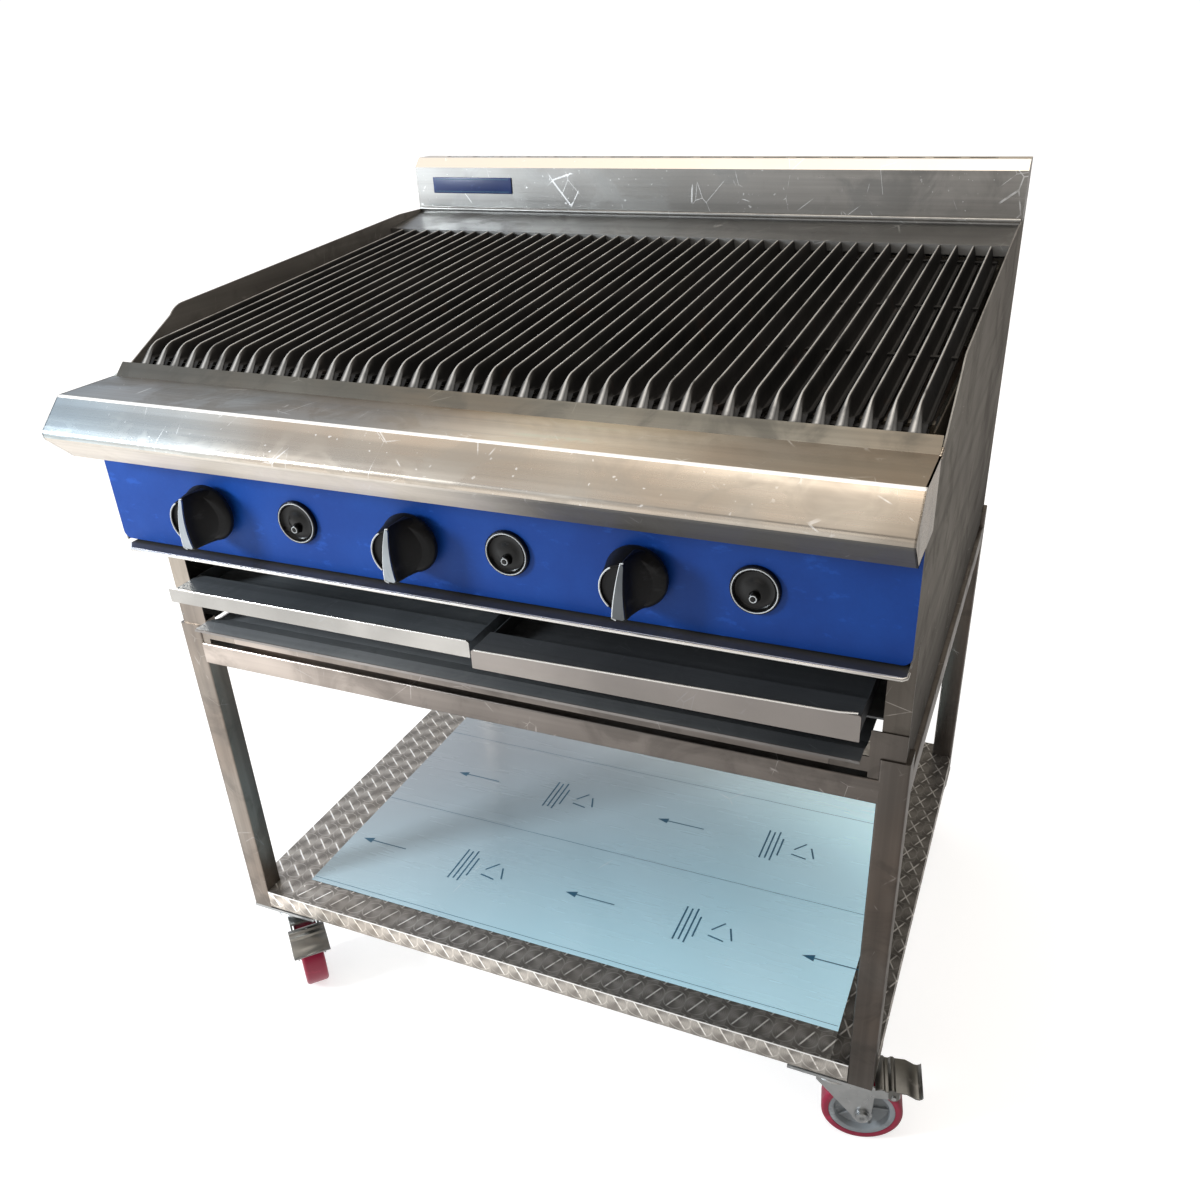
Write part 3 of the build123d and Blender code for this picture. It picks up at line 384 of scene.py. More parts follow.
# the nosing's upward faces: painted reflection darker at the left end, and a painted highlight stretch near x
# 0.11
DECK = steel("stainless_deck", (0.62, 0.6, 0.55), (0.36, 0.34, 0.3), 0.3, 0.35, 0.9, warm=WARM, offset=41.0,
             specks=0.7, ends=((0.55, 0.54, 0.52), (1.05, 1.0, 0.95)), painted_glare=(0.11, 0.11, (2.4, 2.25, 2.0)))
# the nosing's downward faces: painted light, bright at the left and nearly black at the right
UNDER = steel("stainless_under", (1.0, 0.95, 0.9), (0.82, 0.77, 0.72), 0.4, 0.2, 0.3, offset=43.0, metal=0.25,
              ends=((0.86, 0.82, 0.76), (0.12, 0.12, 0.12)), turn=(0.07, 0.09))
# painted highlight: the bright band along the bend between the deck and the slope
GLINT = steel("stainless_bend", (1.0, 0.98, 0.95), (0.9, 0.87, 0.83), 0.3, 0.1, 0.2, offset=45.0, metal=0.25)
# painted light: the splashback is lighter at the left end and its upward faces are lighter
BACKSPLASH = steel("stainless_splash", (0.6, 0.59, 0.57), (0.34, 0.335, 0.32), 0.3, 0.35, 1.3, offset=19.0,
                   specks=0.9, ends=((0.85, 0.86, 0.87), (0.56, 0.55, 0.54)), up=(0.74, 0.68, 0.61))
# painted shade: the side sheets are darkened for the shaded right side and darken further towards the bottom
SIDE = steel("stainless_side", (0.33, 0.313, 0.285), (0.19, 0.177, 0.163), 0.5, 0.4, 0.5, "y", offset=4.0,
             metal=0.22, shade_below=(0.74, 0.56, 0.9), Specular_IOR_Level=0.0)
BACK = steel("stainless_back", (0.42, 0.41, 0.39), (0.24, 0.23, 0.22), 0.36, 0.4, 0.8, offset=6.0)
# painted shade: the well's front is darker and cooler at the left end, in shadow under the bar noses
WELL = steel("well_steel", (0.26, 0.25, 0.215), (0.13, 0.125, 0.108), 0.42, 0.4, 0.3, warm=(0.2, 0.15, 0.1),
             offset=8.0, metal=0.7, ends=((0.5, 0.52, 0.55), (0.9, 0.88, 0.86)), turn=(-0.2, 0.2))
# painted light and shade: bright at the left and dark at the right, in the shaded opening above the right
# tray; the front flange in front of the depth -0.3145 is painted lit, darker to the right
PAN = steel("pan_steel", (0.4, 0.41, 0.415), (0.23, 0.24, 0.25), 0.42, 0.35, 0.5, offset=12.0, metal=0.45,
            edge=(-0.3145, (0.42, 0.385, 0.36)), ends=((1.7, 1.7, 1.7), (0.5, 0.5, 0.5)),
            edge_ends=((1.0, 1.0, 1.0), (0.5, 0.5, 0.5)))
# painted highlight: the front edge of the lip is near white
LIP = steel("lip_steel", (0.17, 0.165, 0.16), (0.09, 0.088, 0.085), 0.4, 0.35, 0.3, offset=22.0, metal=0.6,
            edge=(-0.3572, (0.9, 0.88, 0.84)))
LEDGE = steel("ledge_steel", (0.4, 0.395, 0.38), (0.24, 0.237, 0.23), 0.32, 0.4, 0.7, offset=24.0)
# painted light and shade: the two trays are one steel, the left lit and bluer, the right painted darker in
# shade; each front is painted lit
TRAY_LEFT = steel("tray_left_steel", (0.29, 0.315, 0.34), (0.16, 0.176, 0.194), 0.4, 0.3, 0.4, offset=26.0,
                  metal=0.4, edge=(-0.3185, (0.6, 0.57, 0.53)))
TRAY_RIGHT = steel("tray_right_steel", (0.19, 0.2, 0.215), (0.1, 0.107, 0.118), 0.4, 0.3, 0.4, offset=28.0,
                   metal=0.4, edge=(-0.3365, (0.32, 0.285, 0.26)))
# painted light: the legs, posts and beams are lighter at the left end and darker at the right
LEGS = steel("frame_steel", (0.3, 0.275, 0.255), (0.145, 0.132, 0.122), 0.32, 0.4, 0.8, "z",
             (0.24, 0.185, 0.15), 2.0, ends=LIT_TO_SHADED)
POSTS = steel("post_steel", (0.42, 0.385, 0.345), (0.25, 0.225, 0.2), 0.3, 0.35, 0.6, "z", offset=30.0,
              ends=((1.25, 1.2, 1.14), (0.4, 0.39, 0.38)))
BEAMS = steel("beam_steel", (0.36, 0.33, 0.31), (0.19, 0.172, 0.16), 0.3, 0.35, 0.8, offset=14.0,
              ends=((1.9, 1.8, 1.7), (0.62, 0.6, 0.58)), turn=(-0.2, 0.2))
HEATED = steel("radiant_steel", (0.2, 0.17, 0.15), (0.07, 0.06, 0.055), 0.42, 0.5, 0.3, "y",
               (0.2, 0.11, 0.06), 16.0)
# painted highlight: the hems are lighter than the rest of the steel, for the bright line along each rolled
# edge
BRIGHT = steel("bright_hem", (0.95, 0.93, 0.9), (0.7, 0.67, 0.63), 0.22, 0.2, 0.4, offset=33.0, metal=0.8)
# painted light: the knob inlays are bright at the left and nearly black at the right
PLATE = steel("knob_plate", (0.3, 0.32, 0.33), (0.2, 0.21, 0.22), 0.3, 0.2, 0.3, "z", offset=36.0,
              ends=((2.2, 2.25, 2.3), (0.12, 0.12, 0.12)))
SWIRL = swirl_steel()
IRON = cast_iron()
FILM = film_skin()
# each has its tones, its roughness, and the fineness, depth and spread of its grain
# painted light: the blue is darker towards the right end
BLUE = flaky("blue_paint", (0.004, 0.052, 0.3), (0.008, 0.078, 0.4), 0.45, 300.0, 0.08, 0.8,
             ends=((0.95, 0.93, 0.92), (0.5, 0.6, 0.62)), Specular_IOR_Level=0.2)
BADGE = flaky("badge_blue", (0.012, 0.03, 0.12), (0.03, 0.06, 0.2), 0.34, 200.0, 0.2, 0.6)
BLACK = flaky("knob_black", (0.004, 0.004, 0.0045), (0.01, 0.01, 0.011), 0.42, 260.0, 0.2, 0.6,
              Specular_IOR_Level=0.2)
GLOSS = flaky("button_black", (0.003, 0.003, 0.003), (0.007, 0.007, 0.007), 0.22, 260.0, 0.08, 0.5,
              Specular_IOR_Level=0.25)
ZINC = flaky("zinc", (0.34, 0.35, 0.355), (0.58, 0.58, 0.57), 0.3, 160.0, 0.25, 0.9, 1.0)
PEDAL = flaky("pedal_zinc", (0.13, 0.128, 0.12), (0.26, 0.255, 0.24), 0.34, 160.0, 0.3, 0.9, 1.0)
PIPE = flaky("pipe_zinc", (0.3, 0.3, 0.29), (0.45, 0.44, 0.42), 0.42, 120.0, 0.3, 0.7, 1.0)
BRASS = flaky("brass", (0.42, 0.29, 0.1), (0.58, 0.42, 0.18), 0.34, 120.0, 0.25, 0.6, 1.0)
GREY = flaky("hub_grey", (0.2, 0.22, 0.235), (0.36, 0.38, 0.4), 0.42, 220.0, 0.2, 0.8)
RED = flaky("tyre_red", (0.25, 0.003, 0.03), (0.4, 0.01, 0.055), 0.36, 180.0, 0.2, 0.7)
PRINT = flaky("print_blue", (0.02, 0.1, 0.17), (0.035, 0.15, 0.25), 0.4, 300.0, 0.05, 0.5)
MARK = flaky("pointer_grey", (0.55, 0.57, 0.58), (0.75, 0.77, 0.78), 0.3, 300.0, 0.05, 0.5)

LOOKS = {
    "left_side_panel": SIDE, "right_side_panel": SIDE, "front_posts": POSTS, "corner_feet": LEGS,
    "base_rail": BEAMS, "splashback": BACKSPLASH, "rear_panel": BACK, "control_box_floor": LIP,
    "rear_ledge": LEDGE, "stand_legs": LEGS, "stand_beams": BEAMS, "shelf": SWIRL,
    "firebox_front_wall": WELL, "firebox_liners": WELL, "base_pan": PAN, "tray_runners": PAN,
    "grate_supports": WELL, "drip_tray_left": TRAY_LEFT, "drip_tray_right": TRAY_RIGHT, "control_panel": BLUE,
    "badge_plate": BADGE, "burners": IRON, "radiants": HEATED, "gas_manifold": PIPE,
    "gas_valves": BRASS, "castor_mounts": ZINC, "castor_plates": ZINC, "castor_bolts": ZINC,
    "front_nosing": STEEL, "film_sheet": FILM,
}
PREFIXES = {
    "valve_spindle": BRASS, "knob": BLACK, "igniter": GLOSS, "grate_": IRON, "fork": ZINC,
    "hub": GREY, "tyre": RED, "brake_pedal": PEDAL,
}
for node_name, node in NODES.items():
    look = LOOKS.get(node_name)
    if look is None:
        look = next(m for p, m in PREFIXES.items() if node_name.startswith(p))
    node.data.materials.clear()
    node.data.materials.append(look)


# -------------------- mesh helpers


def new_object(name, bm):
    """Frees a bmesh in millimetres into a new object in metres."""
    bm.transform(Matrix.Scale(MM, 4))
    mesh = bpy.data.meshes.new(name)
    bm.to_mesh(mesh)
    bm.free()
    obj = bpy.data.objects.new(name, mesh)
    bpy.context.scene.collection.objects.link(obj)
    return obj


def apply_modifiers(obj):
    bpy.context.view_layer.update()
    shaped = bpy.data.meshes.new_from_object(obj.evaluated_get(bpy.context.evaluated_depsgraph_get()))
    obj.modifiers.clear()
    obj.data = shaped


def piece(name, bm, mat, body=ROOT, nodes=(), angle=35.0, bevel=0.0, segments=2, sub=0):
    """Turns a bmesh in millimetres into a finished piece that rides on a body."""
    bmesh.ops.remove_doubles(bm, verts=bm.verts, dist=0.0005)
    bmesh.ops.recalc_face_normals(bm, faces=bm.faces)
    obj = new_object(name, bm)
    obj.data.materials.append(mat)
    if bevel:
        mod = obj.modifiers.new("bevel", "BEVEL")
        mod.width = bevel * MM
        mod.segments = segments
        mod.limit_method = "ANGLE"
        mod.angle_limit = math.radians(30)
    if sub:
        mod = obj.modifiers.new("sub", "SUBSURF")
        mod.levels = mod.render_levels = sub
    if bevel or sub:
        apply_modifiers(obj)
    obj.data.shade_smooth()
    obj.data.set_sharp_from_angle(angle=math.radians(angle))
    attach(obj, body)
    if nodes:
        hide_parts(*nodes)
    return obj


def loft(bm, rings):
    """Joins each ring of vertices to the next one and closes both ends."""
    bm.faces.new(rings[0])
    bm.faces.new(rings[-1][::-1])
    for a, b in zip(rings, rings[1:]):
        for k in range(len(a)):
            j = (k + 1) % len(a)
            bm.faces.new((a[k], b[k], b[j], a[j]))


def prism(bm, outline, place, depth):
    """A closed outline of 2-D points carried through depth; place(u, v, d) gives the 3-D point."""
    loft(bm, [[bm.verts.new(place(u, v, d)) for u, v in outline] for d in (0.0, depth)])


def lathe(bm, profile, place, steps=48, closed=False):
    """Spins (radius, height) points; place(a, b, h) gives the 3-D point."""
    rings = []
    for r, h in profile:
        if r < 1e-6:
            rings.append([bm.verts.new(place(0.0, 0.0, h))])
            continue
        ring = []
        for i in range(steps):
            t = 2 * math.pi * i / steps
            ring.append(bm.verts.new(place(r * math.cos(t), r * math.sin(t), h)))
        rings.append(ring)
    pairs = list(zip(rings, rings[1:]))
    if closed:
        pairs.append((rings[-1], rings[0]))
    for a, b in pairs:
        for i in range(steps):
            j = (i + 1) % steps
            corners = [a[i % len(a)], a[j % len(a)], b[j % len(b)], b[i % len(b)]]
            corners = [v for k, v in enumerate(corners) if v not in corners[:k]]
            if len(corners) > 2:
                bm.faces.new(corners)


def hoop(bm, radius, thick, place, steps):
    """A thin round ring."""
    turns = [k * math.pi / 3 for k in range(6)]
    lathe(bm, [(radius + thick * math.cos(t), thick * math.sin(t)) for t in turns], place, steps, closed=True)


def along_y(x, y, z):
    """place(a, b, h) for a turned shape whose axis runs back from a point."""
    return lambda a, b, h: (x + a, y + h, z + b)


def block(bm, x0, x1, y0, y1, z0, z1):
    prism(bm, [(x0, y0), (x1, y0), (x1, y1), (x0, y1)], lambda u, v, d: (u, v, z0 + d), z1 - z0)


def wire(bm, points, radius, steps=8):
    """A thin round wire through 3-D points, with closed ends."""
    rings = []
    for i, here in enumerate(points):
        here = Vector(here)
        run = (Vector(points[min(i + 1, len(points) - 1)]) - Vector(points[max(i - 1, 0)])).normalized()
        side = run.cross(Vector((0.13, 0.2, 1.0))).normalized()
        up = side.cross(run)
        ring = []
        for k in range(steps):
            t = 2 * math.pi * k / steps
            ring.append(bm.verts.new(here + (side * math.cos(t) + up * math.sin(t)) * radius))
        rings.append(ring)
    loft(bm, rings)


def arc(corner, radius, start, end, steps):
    points = []
    for i in range(steps + 1):
        t = math.radians(start + (end - start) * i / steps)
        points.append((corner[0] + radius * math.cos(t), corner[1] + radius * math.sin(t)))
    return points


def mm_box(node):
    low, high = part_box(node)
    return low / MM, high / MM


# -------------------- grates

BARS = 7
GAP = 1.2  # between neighbouring castings
ASIDE_BAR = 1.2  # the section is wider on its right, so each bar sits this far to the left
BEND_Y = -244.0
BEND_RADIUS = 30.0
SLOPE = math.radians(4.83)
DROOP = math.radians(37.0)
NOSE_Z = 926.0
BAR_DEPTH = 21.0
STRAIGHT, BENT, NOSE = 8, 5, 4  # stations along each stretch of a bar


def bar_path(front_y, front_z, rear_y, rear_z):
    """Stations (y, z, tilt) along a bar's ridge, from the back to the drooping nose."""
    stations = []
    bend_z = rear_z + (BEND_Y - rear_y) * math.tan(SLOPE)
    for i in range(STRAIGHT + 1):
        y = rear_y + (BEND_Y + 8.0 - rear_y) * i / STRAIGHT
        stations.append((y, rear_z + (y - rear_y) * math.tan(SLOPE), SLOPE))
    centre = (BEND_Y + BEND_RADIUS * math.sin(SLOPE), bend_z - BEND_RADIUS * math.cos(SLOPE))
    for i in range(1, BENT + 1):
        t = SLOPE + (DROOP - SLOPE) * i / BENT
        stations.append((centre[0] - BEND_RADIUS * math.sin(t), centre[1] + BEND_RADIUS * math.cos(t), t))
    last = stations[-1]
    for i in range(1, NOSE + 1):
        t = i / NOSE
        stations.append((last[0] + (front_y - last[0]) * t, last[1] + (front_z - last[1]) * t, DROOP))
    return stations


# across, below the ridge, rubbed brightness and painted highlight on the bar, extra of both at the nose, most
# on the left flank
BAR_SECTION = (
    (-1.9, -2.4, 0.0, 0.35), (-1.25, -0.7, 0.05, 0.8), (-0.6, 0.0, 0.9, 0.0), (0.3, 0.0, 0.9, -0.62),
    (1.0, -0.7, 0.02, 0.1), (2.0, -2.6, 0.0, 0.2), (3.2, -8.0, 0.0, 0.08), (4.6, -14.5, 0.0, 0.0),
    (6.2, -17.6, 0.0, 0.0), (8.4, -18.0, 0.0, 0.0), (9.6, -16.6, 0.0, 0.0), (10.5, -16.6, 0.0, 0.0),
    (11.0, -18.2, 0.0, 0.0), (10.6, -BAR_DEPTH, 0.0, 0.0), (-5.4, -BAR_DEPTH, 0.0, 0.0),
    (-4.9, -17.0, 0.0, 0.0), (-3.4, -8.0, 0.0, 0.0),
)


def ball(bm, centre, radius, stretch, steps, layer, wear_and_sheen):
    """A rounded lump, stretched along each axis, with one wear value, its rubbed brightness and painted
    highlight.
    """
    known = set(bm.verts)
    rows = max(6, steps // 2)
    turns = [math.pi * k / rows for k in range(rows + 1)]
    lathe(bm, [(radius * math.sin(t), radius * math.cos(t)) for t in turns],
          lambda a, b, h: tuple(c + d * k for c, d, k in zip(centre, (a, b, h), stretch)), steps)
    for v in bm.verts:
        if v not in known:
            v[layer] = wear_and_sheen


def bar(bm, layer, x, path):
    """One bar: its section swept along the path, with a rounded nose."""
    rings = []
    for k, (y, z, tilt) in enumerate(path):
        near = max(0.0, (k - STRAIGHT - 1) / (len(path) - STRAIGHT - 2))
        wide = 1.0 + 0.85 * near * near
        deep = 1.0 - 0.62 * near
        ring = []
        for across, below, wear_and_sheen, extra in BAR_SECTION:
            side = across * (wide if below > -10 else 1.0 - 0.2 * near)
            down = below * deep
            v = bm.verts.new((x + side - ASIDE_BAR, y + down * math.sin(tilt), z + down * math.cos(tilt)))
            v[layer] = wear_and_sheen + extra * near
            ring.append(v)
        rings.append(ring)
    last = rings[-1]
    centre = sum((v.co for v in last), Vector()) / len(last)
    for step, shrink in ((1.3, 0.92), (2.4, 0.72), (3.1, 0.42)):
        ring = []
        for v in last:
            away = centre + (v.co - centre) * shrink
            w = bm.verts.new(away + Vector((0, -step, -step * 0.7)))
            w[layer] = v[layer] * 0.12
            ring.append(w)
        rings.append(ring)
    loft(bm, rings)


def grate(number):
    node = f"grate_{number}"
    low, high = mm_box(node)
    pitch = (high.x - low.x + GAP) / BARS
    rear_y = high.y
    rear_z = high.z - 1.0
    path = bar_path(low.y + 4.0, NOSE_Z, rear_y, rear_z)
    bm = bmesh.new()
    layer = bm.verts.layers.float.new("wear_and_sheen")
    for i in range(BARS):
        x = (low.x + high.x) / 2 + (i - (BARS - 1) / 2) * pitch
        bar(bm, layer, x, path)
        # a bead at the left of the nose, rubbed bright and with a painted highlight, and the round boss under
        # it
        ball(bm, (x - 5.2, low.y + 5.2, NOSE_Z - 2.4), 2.2, (1, 1, 1), 12, layer, 0.75)
        ball(bm, (x + 1.2, low.y + 7.0, NOSE_Z - 5.6), 6.0, (1.1, 0.8, 1.0), 18, layer, 0.0)
    # the cross ribs: a low one under the noses, two in the middle and a deep one at the back
    ribs = ((low.y + 12.0, 9.0, 4.0), (-90.0, 8.0, 0.0), (70.0, 8.0, 0.0), (rear_y - 12.0, 12.0, 0.0))
    for y, deep, drop in ribs:
        foot = rear_z + (y - rear_y) * math.tan(SLOPE) - BAR_DEPTH - 0.3
        block(bm, low.x + 0.2, high.x - 0.2, y - deep / 2, y + deep / 2, foot - drop, foot + 6.0 - drop)
    piece(f"grate_casting_{number}", bm, IRON, f"grate_{number}", (node,), angle=50)


for n in range(1, 7):
    grate(n)


# -------------------- controls


RIM_R = 25.0  # the bright rim of the dish
SKIRT_R = 31.4
ASIDE = 1.5  # the grip stands this far to the left of the axis
LEAN_DEGREES = {1: 5.0, 2: 4.0, 3: 5.0}
GRIP_ROWS = (-30.6, -30.0, -28.0, -24.0, -18.0, -10.0, 0.0, 10.0, 18.0, 24.0, 28.0, 30.0, 30.6)
INLAY_ROWS = (-28, -26, -20, -12, -4, 4, 12, 20, 26, 28)
EDGE_ROWS = (28.4, 26.0, 20.0, 12.0, 4.0, -4.0, -12.0, -20.0, -26.0, -28.4)
GRIP_FOOT = 5.0
LEVELS = 9


def half_face(b):
    """Half the width of the grip's front face: it narrows towards the pointer end."""
    return 4.5 - b * 0.095


def turned_knob(number):
    """A skirt and a cone with a dished front on the left, its rim drawn bright with a painted highlight; a
    tall grip from tip to tip.
    """
    node = f"knob_{number}"
    low, high = mm_box(node)
    axis = Vector(JOINTS[f"knob_turn_{number}"]["pos_m"]) / MM
    deep = high.y - low.y
    rim_h = deep - 8.0
    lean = math.radians(LEAN_DEGREES[number])

    def place(a, b, h):
        x = a * math.cos(lean) + b * math.sin(lean)
        z = b * math.cos(lean) - a * math.sin(lean)
        return (axis.x + x, high.y - h, axis.z + z)

    def cut(a, b, h):
        """The right half of the cone falls away under the grip's flank."""
        return place(a, b, h if a < -1.5 else min(h, 19.0 - 0.38 * a))

    def front_of(b):
        return deep + 1.2 - 0.0046 * b * b

    bm = bmesh.new()
    skirt = [(0, 0), (29.5, 0), (31.3, 1.2), (31.8, 3.4), (31.3, 5.6), (30.3, 7.4)]
    dish = [(0.7, -1.0), (0, 0), (-1.2, -0.3), (-2.2, -2.4), (10.0 - RIM_R, -2.8), (-RIM_R, -2.8)]
    lathe(bm, skirt + [(RIM_R + r, rim_h + h) for r, h in dish], cut, 72)
    piece(f"knob_base_{number}", bm, BLACK, f"knob_{number}", (), 40)

    bm = bmesh.new()
    rings = []
    for b in GRIP_ROWS:
        skirt = math.sqrt(max(0.0, SKIRT_R * SKIRT_R - b * b))
        narrow, sunk = (1.0, 0.0) if abs(b) < 29.0 else (0.72, 1.2) if abs(b) < 30.3 else (0.3, 4.0)
        top = front_of(b) - sunk
        face = half_face(b) * narrow
        flank = face - ASIDE * narrow
        left = []
        right = []
        for k in range(LEVELS + 1):
            t = k / LEVELS
            h = GRIP_FOOT + (top - GRIP_FOOT) * t
            w = flank + (skirt * 0.93 - flank) * (1 - t) ** 2.3
            inset = 0.9 * narrow if k == LEVELS else 0.0
            left.append(bm.verts.new(place(-face - ASIDE * narrow + inset, b, h)))
            right.append(bm.verts.new(place(w - inset, b, h)))
        crown = bm.verts.new(place(-ASIDE * narrow, b, top + 0.25))
        rings.append(left + [crown] + right[::-1])
    loft(bm, rings)
    piece(f"knob_grip_{number}", bm, BLACK, f"knob_{number}", (node,), 38, sub=1)

    # the plated inlay on the front face of the grip
    bm = bmesh.new()
    rings = []
    for b in INLAY_ROWS:
        w = half_face(b) * (0.86 if abs(b) < 27 else 0.5)
        corners = ((-w, -1.4), (w, -1.4), (w, 0.5), (-w, 0.5))
        rings.append([bm.verts.new(place(a - ASIDE, b, front_of(b) + lift)) for a, lift in corners])
    loft(bm, rings)
    piece(f"knob_inlay_{number}", bm, PLATE, f"knob_{number}", (), 40)

    # a light grey line down the left edge of the grip and round the rim of the dish: a pointer line that is
    # also a painted highlight along the lit left edges
    bm = bmesh.new()
    edge = [place(1.0 - ASIDE, 29.0, front_of(29.0) - 0.4)]
    for b in EDGE_ROWS:
        edge.append(place(-half_face(b) - ASIDE + 0.3, b, front_of(b) - 0.4))
    edge.append(place(-half_face(-29.0) * 0.4 - ASIDE, -29.8, front_of(-29.0) - 0.6))
    wire(bm, edge, 0.85)
    reach = RIM_R - 0.5
    turns = [math.radians(t) for t in range(-54, 55, 6)]
    wire(bm, [place(-reach * math.cos(t), reach * math.sin(t), rim_h + 0.2) for t in turns], 0.85)
    piece(f"knob_pointer_glint_{number}", bm, MARK, f"knob_{number}", (), 60)


def bore(obj, bm):
    """Cuts the shape in bm out of a finished piece, so that the buttons can slide through."""
    bmesh.ops.recalc_face_normals(bm, faces=bm.faces)
    bit = new_object("bit", bm)
    mod = obj.modifiers.new("bore", "BOOLEAN")
    mod.object = bit
    mod.solver = "EXACT"
    apply_modifiers(obj)
    bpy.data.objects.remove(bit)
    obj.data.set_sharp_from_angle(angle=math.radians(35))


for n in (1, 2, 3):
    turned_knob(n)

RISE = 6.0  # from the middle of a button up to the middle of its dish
DISH = ((0, 20), (14, 20), (14, 0.0), (24.0, 0.0), (24.0, -2.6), (23.2, -4.4), (21.6, -5.0), (20.4, -4.6),
        (19.2, -2.2), (17.6, -1.2), (12.0, -1.0), (9.5, -2.4), (0, -3.0))
CAP = ((0, 0), (3.4, 0.0), (4.6, 0.8), (5.0, 2.2), (5.0, 26.0), (0, 26.0))
HOLE = ((0, -8.0), (5.5, -8.0), (5.5, 30.0), (0, 30.0))
face_y = mm_box("control_panel")[0].y
dish_bm = bmesh.new()
ring_bm = bmesh.new()
hole_bm = bmesh.new()
for n in (1, 2, 3):
    low, high = mm_box(f"igniter_button_{n}")
    x = (low.x + high.x) / 2
    z = (low.z + high.z) / 2
    lathe(dish_bm, DISH, along_y(x, face_y, z + RISE), 56)
    hoop(ring_bm, 21.6, 0.5, along_y(x, face_y - 4.9, z + RISE), 56)
    lathe(hole_bm, HOLE, along_y(x, face_y, z), 32)
    bm = bmesh.new()
    lathe(bm, CAP, along_y(x, low.y, z), 28)
    piece(f"igniter_cap_{n}", bm, GLOSS, f"button_{n}", (f"igniter_button_{n}",), 40)
    bm = bmesh.new()
    hoop(bm, 3.2, 0.45, along_y(x, low.y, z), 28)
    piece(f"igniter_tip_{n}", bm, MARK, f"button_{n}", (), 50)
dishes = piece("igniter_dishes", dish_bm, GLOSS, ROOT, ("igniter_bezels",), 35)
bore(dishes, hole_bm)
piece("igniter_rings", ring_bm, MARK, ROOT, (), 50)


# -------------------- badge

low, high = mm_box("badge_plate")
bm = bmesh.new()
block(bm, low.x, high.x, low.y, high.y, low.z, high.z)
piece("badge_blank", bm, BADGE, ROOT, ("badge_plate",), 35, bevel=0.9, segments=3)
bm = bmesh.new()
for z in (low.z + 2.2, high.z - 3.0):
    block(bm, low.x + 4, high.x - 4, low.y - 0.25, low.y + 0.2, z, z + 0.8)
piece("badge_lines", bm, PRINT, ROOT)


# -------------------- film on the shelf

low, high = mm_box("film_sheet")
COLUMNS, ROWS = 90, 64
TOP = low.z + 0.7


def film_z(x, y):
    wave = 0.45 * math.sin(x * 0.021 + 0.8) * math.sin(y * 0.017 + 0.4)
    wave += 0.25 * math.sin(x * 0.047 + y * 0.033)
    return TOP + wave * 0.5


bm = bmesh.new()
grid = []
for i in range(COLUMNS + 1):
    line = []
    for j in range(ROWS + 1):
        x = low.x + (high.x - low.x) * i / COLUMNS
        y = low.y + (high.y - low.y) * j / ROWS
        line.append(bm.verts.new((x, y, film_z(x, y))))
    grid.append(line)
for i in range(COLUMNS):
    for j in range(ROWS):
        bm.faces.new((grid[i][j], grid[i + 1][j], grid[i + 1][j + 1], grid[i][j + 1]))
film = piece("protective_film", bm, FILM, ROOT, ("film_sheet",), 60)

bm = bmesh.new()


def ink(points):
    bm.faces.new([bm.verts.new((x, y, film_z(x, y) + 0.12)) for x, y in points])


def stroke(x0, y0, x1, y1, wide):
    """A printed line, cut into short lengths so that it follows the film."""
    run = math.hypot(x1 - x0, y1 - y0)
    nx, ny = -(y1 - y0) / run * wide / 2, (x1 - x0) / run * wide / 2
    steps = max(1, int(run / 9))
    for k in range(steps):
        a, b = k / steps, (k + 1) / steps
        ax, ay = x0 + (x1 - x0) * a, y0 + (y1 - y0) * a
        bx, by = x0 + (x1 - x0) * b, y0 + (y1 - y0) * b
        ink([(ax + nx, ay + ny), (bx + nx, by + ny), (bx - nx, by - ny), (ax - nx, ay - ny)])


def printed_arrow(x, y):
    stroke(x - 22, y, x + 38, y, 1.9)
    ink([(x - 38, y), (x - 21, y + 6.0), (x - 21, y - 6.0)][::-1])


def printed_mark(x, y):
    """A plain triangle of three bars, with short lines beside it."""
    turns = [math.radians(t) for t in (80, 200, 320)]
    corners = [(x + 25 * math.cos(t), y + 25 * math.sin(t)) for t in turns]
    for (ax, ay), (bx, by) in zip(corners, corners[1:] + corners[:1]):
        dx, dy = bx - ax, by - ay
        stroke(ax + dx * 0.16, ay + dy * 0.16, ax + dx * 0.7, ay + dy * 0.7, 2.4)
    for k, long in enumerate((20, 34, 31, 33)):
        stroke(x - 36 - k * 8, y - long, x - 36 - k * 8, y + long, 2.4)


# the depth of each printed row, where its arrows stand and where its marks stand
PRINT_ROWS = ((-143.0, (-323.0, 23.0, 369.0), (-132.0, 220.0)), (57.0, (-269.0, 89.0), (-75.0, 284.0)))
for y, arrows, marks in PRINT_ROWS:
    for x in arrows:
        printed_arrow(x, y)
    for x in marks:
        printed_mark(x, y)
for y in (low.y + 8.0, -41.0, 159.0):
    stroke(low.x + 2, y, high.x - 2, y, 0.8)
piece("film_print", bm, PRINT, ROOT, (), 60)


# -------------------- castors

HEADINGS = {}
for name in ("front_right", "front_left", "rear_right", "rear_left"):
    swivel = Vector(JOINTS[f"swivel_{name}"]["pos_m"])
    axle = Vector(JOINTS[f"roll_{name}"]["pos_m"])
    HEADINGS[name] = (swivel / MM, math.atan2(axle.y - swivel.y, axle.x - swivel.x))


def along(name):
    """place(u, v, z): u is towards the trailing wheel, v is along the axle."""
    origin, heading = HEADINGS[name]
    c, s = math.cos(heading), math.sin(heading)
    return lambda u, v, z: (origin.x + u * c - v * s, origin.y + u * s + v * c, z)


TRAIL = 35.0  # from the swivel axis back to the axle
AXLE_Z = 50.0
